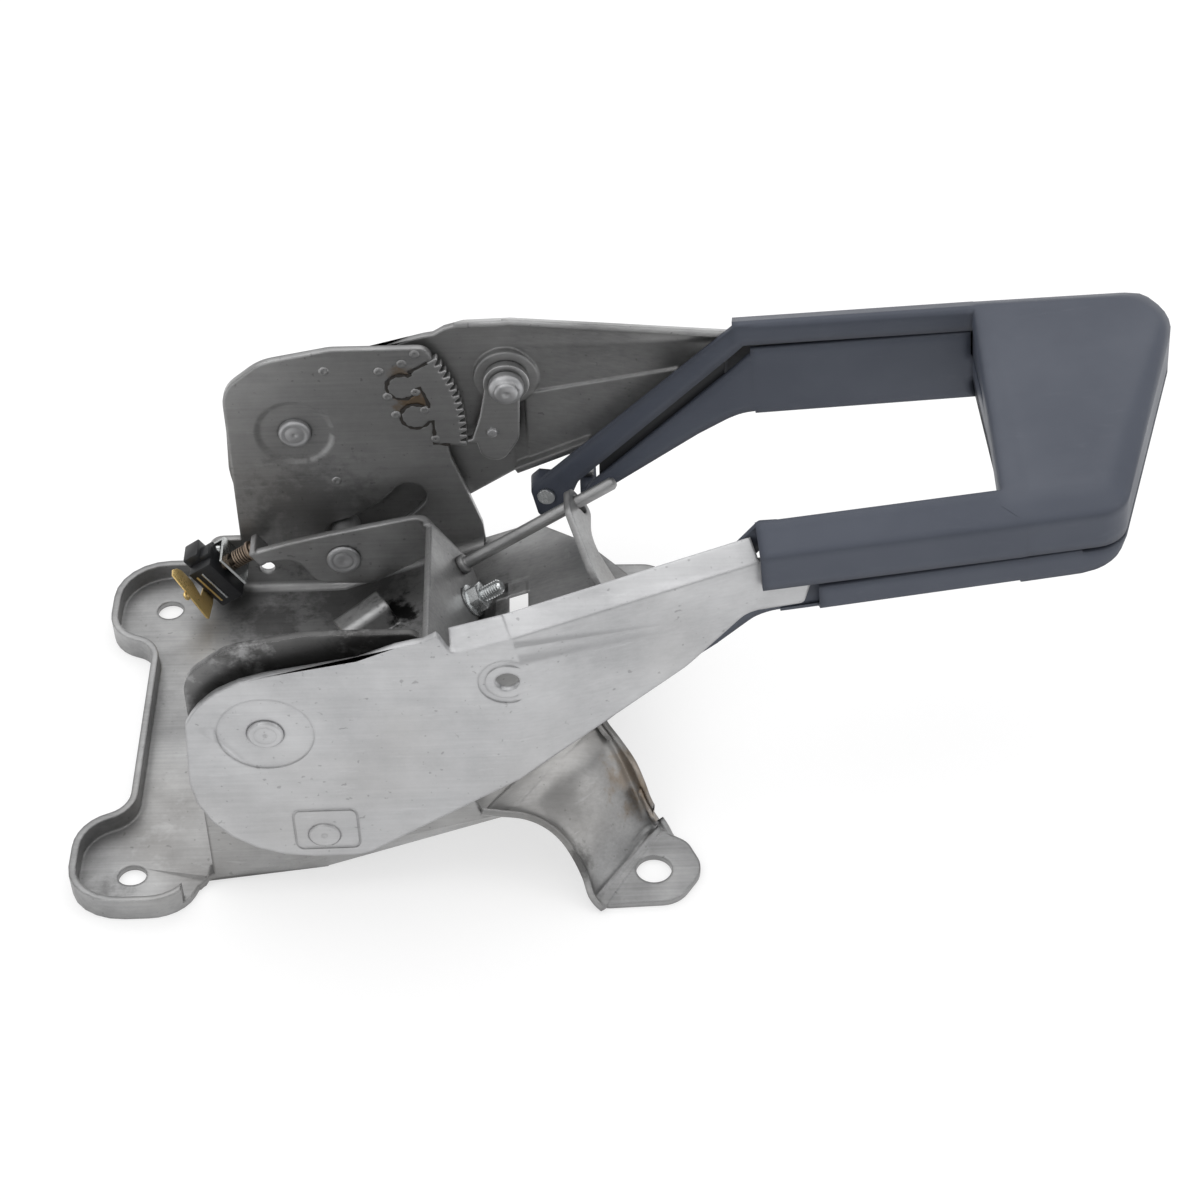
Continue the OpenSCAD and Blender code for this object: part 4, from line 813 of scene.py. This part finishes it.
copies = {}
for name in ("near_arm", "far_arm"):
    shape = copy_of(name)
    rounds = across_edges(shape, 6, 30, lambda at: at.x < 0.078 and (at - PIVOT).xz.length > 0.022
                          and (at - YOKE_PIN).xz.length > 0.010)
    bmesh.ops.bevel(shape, geom=rounds, offset=0.0022, offset_type="OFFSET", segments=3, profile=0.5,
                    affect="EDGES", clamp_overlap=True, material=-1)
    shape_rear_edge(shape)
    lift_flange(shape, name)
    flatten_faces(shape)
    print(name, "rounds cut finer:", len(rounds))
    copies[name] = place_piece("rounded_" + name, shape, slot_of[name], "lever", (name,), sharp=34)

# %% [markdown]
# ### Dark sheet behind the strips
# The slit between the far strip and the grip's tail looks into the dark of the moulding.
# A thin black sheet stands in for that shade as a piece: it sits against the strip's back, rides with it and leans away
# from the tail, which slides past it.

# %% Dark sheet as painted shade behind the far strip
shape = bmesh.new()
corners = [shape.verts.new(lever_point(*at)) for at in
           ((113, 62.06, 74.6), (158, 53.96, 126.8), (158, 54.76, 113.8), (113, 62.86, 61.9))]
face = shape.faces.new(corners)
grown = bmesh.ops.extrude_face_region(shape, geom=[face])
bmesh.ops.translate(shape, verts=points_of(grown["geom"]), vec=(0.00016, 0.0009, 0))
bmesh.ops.recalc_face_normals(shape, faces=shape.faces[:])
print("slat faces:", len(shape.faces))
# The black sheet is a dark stand-in for the shade in the slit, not a part of the lever.
place_piece("strip_shade_sheet", shape, "black_plastic", "lever")

# %% [markdown]
# ### Front leg
# The near leg flows out of the floor in one sweep, with a lip on each edge that starts at the wall's foot.
# Rows of five points run across it from lip to lip, and smooth curves through them make the pressed sheet.
# A copy of the base is cut where the sweep begins and keeps its own pad, so the two meet without a step.

# %% Rows of the near leg
leg_rows = [
    [(68.4, -76.0, 34.4), (69.5, -67.0, 24.2), (86.0, -52.0, 30.2), (103.0, -37.0, 36.2), (106.0, -36.5, 37.0)],
    [(75.1, -76.5, 33.5), (76.4, -68.4, 26.8), (91.6, -54.0, 32.4), (106.9, -40.1, 37.4), (109.6, -39.9, 38.2)],
    [(83.3, -76.7, 31.8), (84.7, -70.7, 28.0), (97.0, -57.0, 33.0), (109.1, -42.5, 34.8), (111.7, -42.4, 36.5)],
    [(90.7, -78.0, 28.5), (92.3, -73.6, 25.2), (102.6, -60.2, 30.4), (112.7, -46.8, 31.0), (115.8, -46.7, 33.4)],
    [(96.5, -80.4, 23.5), (98.1, -76.6, 20.0), (107.4, -63.8, 24.4), (116.4, -51.2, 25.5), (120.2, -52.1, 28.9)],
    [(100.8, -83.8, 17.0), (102.7, -80.5, 13.5), (111.5, -67.7, 16.3), (120.0, -55.5, 17.5), (123.4, -56.0, 22.2)],
    [(103.9, -87.3, 10.5), (105.9, -84.2, 7.0), (114.8, -71.1, 7.9), (123.5, -58.5, 8.0), (126.7, -58.0, 13.3)],
    [(105.7, -91.5, 5.6), (108.2, -87.7, 2.9), (117.4, -73.6, 2.9), (126.4, -59.5, 2.9), (131.0, -59.8, 5.2)],
    [(109.0, -95.5, 2.7), (111.0, -91.8, 2.65), (120.0, -77.0, 2.65), (129.6, -62.6, 2.65), (134.0, -63.2, 2.7)],
]

print("leg drawn from", len(leg_rows), "rows")

# %% [markdown]
# A curve through the given points has no corners, and the sheet gets its thickness along its own normals.
# The upper and lower skins are joined by one rim, so the leg is a closed piece.

# %% Sheet through rows of points
def smooth_line(points, parts):
    """Points on a curve through the given ones, each span cut into equal parts."""
    line = []
    for i in range(len(points) - 1):
        a, b = points[max(i - 1, 0)], points[i]
        c, d = points[i + 1], points[min(i + 2, len(points) - 1)]
        for k in range(parts):
            t = k / parts
            line.append(0.5 * (2 * b + (c - a) * t + (2 * a - 5 * b + 4 * c - d) * t * t
                               + (3 * b - a - 3 * c + d) * t ** 3))
    return line + [points[-1]]


def sheet_from_rows(shape, rows, thick, parts=5):
    rows = [smooth_line([lever_point(*point) for point in row], parts) for row in rows]
    lines = [smooth_line(list(line), parts) for line in zip(*rows)]
    n, m = len(lines), len(lines[0])
    fresh = bmesh.new()
    top, under = [], []
    for i in range(n):
        upper, lower = [], []
        for j in range(m):
            across = lines[min(i + 1, n - 1)][j] - lines[max(i - 1, 0)][j]
            down = lines[i][min(j + 1, m - 1)] - lines[i][max(j - 1, 0)]
            normal = across.cross(down).normalized()
            normal = normal if normal.z > 0 else -normal
            upper.append(fresh.verts.new(lines[i][j]))
            lower.append(fresh.verts.new(lines[i][j] - normal * thick))
        top.append(upper)
        under.append(lower)
    for i in range(n - 1):
        for j in range(m - 1):
            fresh.faces.new((top[i][j], top[i + 1][j], top[i + 1][j + 1], top[i][j + 1]))
            fresh.faces.new((under[i][j], under[i][j + 1], under[i + 1][j + 1], under[i + 1][j]))
    rim = [(i, 0) for i in range(n)] + [(n - 1, j) for j in range(1, m)]
    rim += [(i, m - 1) for i in range(n - 2, -1, -1)] + [(0, j) for j in range(m - 2, 0, -1)]
    for a, b in zip(rim, rim[1:] + rim[:1]):
        fresh.faces.new((top[a[0]][a[1]], top[b[0]][b[1]], under[b[0]][b[1]], under[a[0]][a[1]]))
    bmesh.ops.recalc_face_normals(fresh, faces=fresh.faces)
    add_shape(shape, fresh)


print("sheet helper ready")

# %% [markdown]
# The base itself is a copy that loses its near leg, has its near lug and lower edge drawn in, and takes the sweep.
# Two thin bars narrow the window in the ramp, which is smaller on the real part than in the solid.

# %% Cut the base, draw it in and add the leg
def keep_side(shape, at, normal):
    """Cut the shape by an upright plane, drop the side the normal points to and close the cut."""
    cut = bmesh.ops.bisect_plane(shape, geom=shape.verts[:] + shape.edges[:] + shape.faces[:], dist=0.000001,
                                 plane_co=at, plane_no=normal, clear_outer=True)
    bmesh.ops.holes_fill(shape, edges=edges_of(cut["geom_cut"]))


shape = copy_of("base_plate")
keep_side(shape, lever_point(80.5, -68.5, 0), (0.703, -0.711, 0))
for v in shape.verts:
    if v.co.x < 0.024 and v.co.y < -0.068:
        v.co.y = -0.068 + (v.co.y + 0.068) * 0.82
slice_at(shape, lever_point(0, -70, 0), (0, 1, 0))
for x in (-28, 30, 50):
    slice_at(shape, lever_point(x, 0, 0), (1, 0, 0))
for v in shape.verts:
    at = in_lever(v.co)
    if at.y < -70.2 and -28.5 < at.x < 78 and at.z < max(0.0, at.x - 12) * rise + 3.2:
        v.co.z += (1.5 + (at.x + 28.5) * 0.296 if at.x < 12 else 13.5 - (at.x - 12) * 0.09) / 1000
pad = copy_of("base_plate")
keep_side(pad, lever_point(119.7, -72.7, 0), (-0.809, 0.588, 0))
add_shape(shape, pad)
sheet_from_rows(shape, leg_rows, 0.0022)
ramp = Matrix.Translation(lever_point(79, 36, 2.5 + 67 * rise)) @ Matrix.Rotation(-math.radians(20), 4, "Y")
soft_bar(shape, (5.5, 20.0, 1.2), (-4.2, 0.0, -0.5), ramp)
soft_bar(shape, (14.0, 8.0, 1.2), (0.0, 6.0, -0.5), ramp)
copies["base_plate"] = place_piece("pressed_base", shape, "grey_steel", "base", ("base_plate",), 34, base_steel)

# %% [markdown]
# ### Handle
# The mouldings are copies of their solids, softened where a hand closes round them.
# The crossbar's edge leans back over the opening, and the lower grip's front turns up in a quarter round.

# %% Lean the crossbar's edge
HANDLE = Matrix.Translation(lever_point(161, 0, 133.7)) @ Matrix.Rotation(-math.radians(5), 4, "Y")
FROM_HANDLE = HANDLE.inverted()

shape = copy_of("upper_cover")
for v in shape.verts:
    at = FROM_HANDLE @ v.co * 1000
    if abs(at.x - 83.6) < 1.6 and abs(at.y) < 56 and at.z > -1:
        v.co = HANDLE @ (Vector((at.x - 6.0 * (56 - at.y) / 112, at.y, at.z)) / 1000)
copies["upper_cover"] = place_piece("softened_cover", shape, "slate_plastic", "lever", ("upper_cover",), sharp=34)

# %% [markdown]
# The lower grip is cut into slices near its front and its near end, and the slices' lower points are lifted on to
# a quarter round. A bevel would do it on a plain box, but the grip is hollow and its walls have to keep their place.

# %% Round the lower grip up at its front
shape = copy_of("release_grip")
front, front_corner = Vector((0.941, -0.338, 0)), Vector((116, -58.4, 0))
ROUND = 18.0


def quarter(depth):
    """How far a quarter round has come down, from 0 at its tip to 1 at its full depth in mm."""
    return math.sqrt(1 - ((ROUND - min(max(depth, 0.0), ROUND)) / ROUND) ** 2)


for depth in (18, 12, 8, 5, 2.5, 1):
    slice_at(shape, HANDLE @ ((front_corner - front * depth) / 1000), HANDLE.to_3x3() @ front)
for u in (99, 103, 107, 110, 112.5, 114.5):
    slice_at(shape, HANDLE @ Vector((u / 1000, 0, 0)), HANDLE.to_3x3() @ Vector((1, 0, 0)))
for v in shape.verts:
    at = FROM_HANDLE @ v.co * 1000
    depth = -(at - front_corner).dot(front)
    lowest = -16.5 - 16.5 * quarter(depth)
    near_end = at.y < -35
    if near_end:
        lowest = max(lowest, -14.6 - 9.6 * quarter(117 - at.x) - max(0.0, at.y + 58) * 0.4)
    if at.x > 84 and at.z < lowest and (depth < ROUND or near_end):
        v.co = HANDLE @ (Vector((at.x, at.y, lowest)) / 1000)
for v in shape.verts:
    at = in_lever(v.co)
    if at.y < -50 and at.x < 122 and at.z < 66:
        v.co.z = 0.0705
flatten_faces(shape)
copies["release_grip"] = place_piece("softened_grip", shape, "slate_plastic", "grip", ("release_grip",), sharp=34)

# %% [markdown]
# ### Joint round the sector
# Oil creeps into the jigsaw joint and darkens it, so its line shows more than its width would.
# A thin ribbon follows the joint: along the inner arc, round each lobe's neck and head, and out at both ends.

# %% Draw the joint as a thin oily ribbon
def joint_path():
    """The joint's line in mm from the pivot, from the sector's lower end to its upper one."""
    inner, head, neck, seat = 52.0, 5.5, 3.3, 46.0
    start, stop = -7.0, 31.5
    lobes = [start + (stop - start) * share for share in (0.4, 0.87)]
    half = math.degrees(math.asin(neck / inner))

    def ring(r, a):
        return Vector((r * math.cos(math.radians(a)), r * math.sin(math.radians(a))))

    path = [ring(r, start) for r in (58.0, 56.0, 54.0)]
    at = start
    for lobe in lobes:
        path += [ring(inner, at + (lobe - half - at) * i / 6) for i in range(7)]
        turn = Matrix.Rotation(math.radians(lobe), 2)
        for i in range(25):
            a = math.radians(-36.87 - (360 - 73.74) * i / 24)
            path.append(turn @ Vector((seat + head * math.cos(a), head * math.sin(a))))
        at = lobe + half
    path += [ring(inner, at + (stop - at) * i / 2) for i in range(3)]
    return path + [ring(r, stop) for r in (54.0, 57.0, 60.0)]


oily_dirt = steel_finish("oily_dirt", (0.050, 0.044, 0.038), (0.018, 0.016, 0.015), (0.09, 0.06, 0.03), 0.55, 0.2)
shape = bmesh.new()
left, right = [], []
path = joint_path()
for i, point in enumerate(path):
    run = (path[min(i + 1, len(path) - 1)] - path[max(i - 1, 0)]).normalized()
    width = 0.55 + 0.22 * math.sin(2.3 * i) + 0.16 * math.sin(5.1 * i + 1)
    for row, sign in ((left, 1), (right, -1)):
        at = point + Vector((-run.y, run.x)) * width * sign
        row.append(shape.verts.new(lever_point(at.x, 73.14, 79.3 + at.y)))
for i in range(len(path) - 1):
    shape.faces.new((left[i], left[i + 1], right[i + 1], right[i]))
bmesh.ops.recalc_face_normals(shape, faces=shape.faces)
shape.faces.ensure_lookup_table()
if shape.faces[0].normal.y > 0:
    bmesh.ops.reverse_faces(shape, faces=shape.faces)
place_piece("sector_joint", shape, "grey_steel", "base", finish=oily_dirt)

# %% [markdown]
# ## Soft edges
# No real edge is a knife: sheet is rounded by the press and plastic by its mould, and both catch the light there.
# A weld joins the loose triangles, a planar dissolve makes them faces again, and a bevel rounds the corners.
# As modifiers these leave the solids alone, and the bevel's faces take a second, lighter finish: partly bare edges from
# wear, partly painted highlight.

# %% Lighter edge finishes for the rounded edges: wear and painted highlight
worn_edge_highlight = {
    "grey_steel": steel_finish("grey_worn_highlit_edge", (0.86, 0.86, 0.86), (0.36, 0.36, 0.36), (0.30, 0.27, 0.24), 0.34),
    "bright_steel": steel_finish("bright_worn_highlit_edge", (0.62, 0.62, 0.63), (0.44, 0.44, 0.45), (0.52, 0.50, 0.48), 0.32),
    "slate_plastic": plastic_finish("slate_worn_highlit_edge", (0.060, 0.067, 0.085), (0.090, 0.099, 0.119), 0.42, 0.005),
}
print("edge finishes:", sorted(worn_edge_highlight))

# %% [markdown]
# The width of a round follows the piece: about a millimetre on mouldings, less on sheet, and little on the fine teeth.

# %% Round the edges of each node
edge_width = {
    "upper_cover": 0.0011, "release_grip": 0.0009, "base_plate": 0.0008, "near_arm": 0.0007, "far_arm": 0.0006,
    "yoke": 0.0006, "guide_tab": 0.0006, "ratchet_sector": 0.00018, "pawl": 0.0004, "pawl_finger": 0.0004,
    "switch_bracket": 0.0003, "cover_screw": 0.0004, "switch_plunger": 0.0003, "handle_bridge": 0.0004,
    "pawl_stud": 0.0004, "hinge_pins": 0.0004,
}


def round_edges(piece, width, slot):
    weld = piece.modifiers.new("join", "WELD")
    weld.merge_threshold = 0.00001
    flat = piece.modifiers.new("flat_faces", "DECIMATE")
    flat.decimate_type = "DISSOLVE"
    flat.angle_limit = math.radians(1.0)
    soft = piece.modifiers.new("soft_edges", "BEVEL")
    soft.width = width
    soft.segments = 2
    soft.limit_method = "ANGLE"
    soft.angle_limit = math.radians(32)
    soft.miter_outer = "MITER_ARC"
    soft.use_clamp_overlap = True
    # The bevel's faces get the lighter edge finish, partly wear and partly painted highlight.
    if slot in worn_edge_highlight:
        piece.data.materials.append(worn_edge_highlight[slot])
        soft.material = 1
    even = piece.modifiers.new("even_shading", "WEIGHTED_NORMAL")
    even.keep_sharp = True


for name, width in edge_width.items():
    round_edges(copies.get(name, frame["nodes"][name]), width, slot_of[name])
print("rounded", len(edge_width), "pieces")
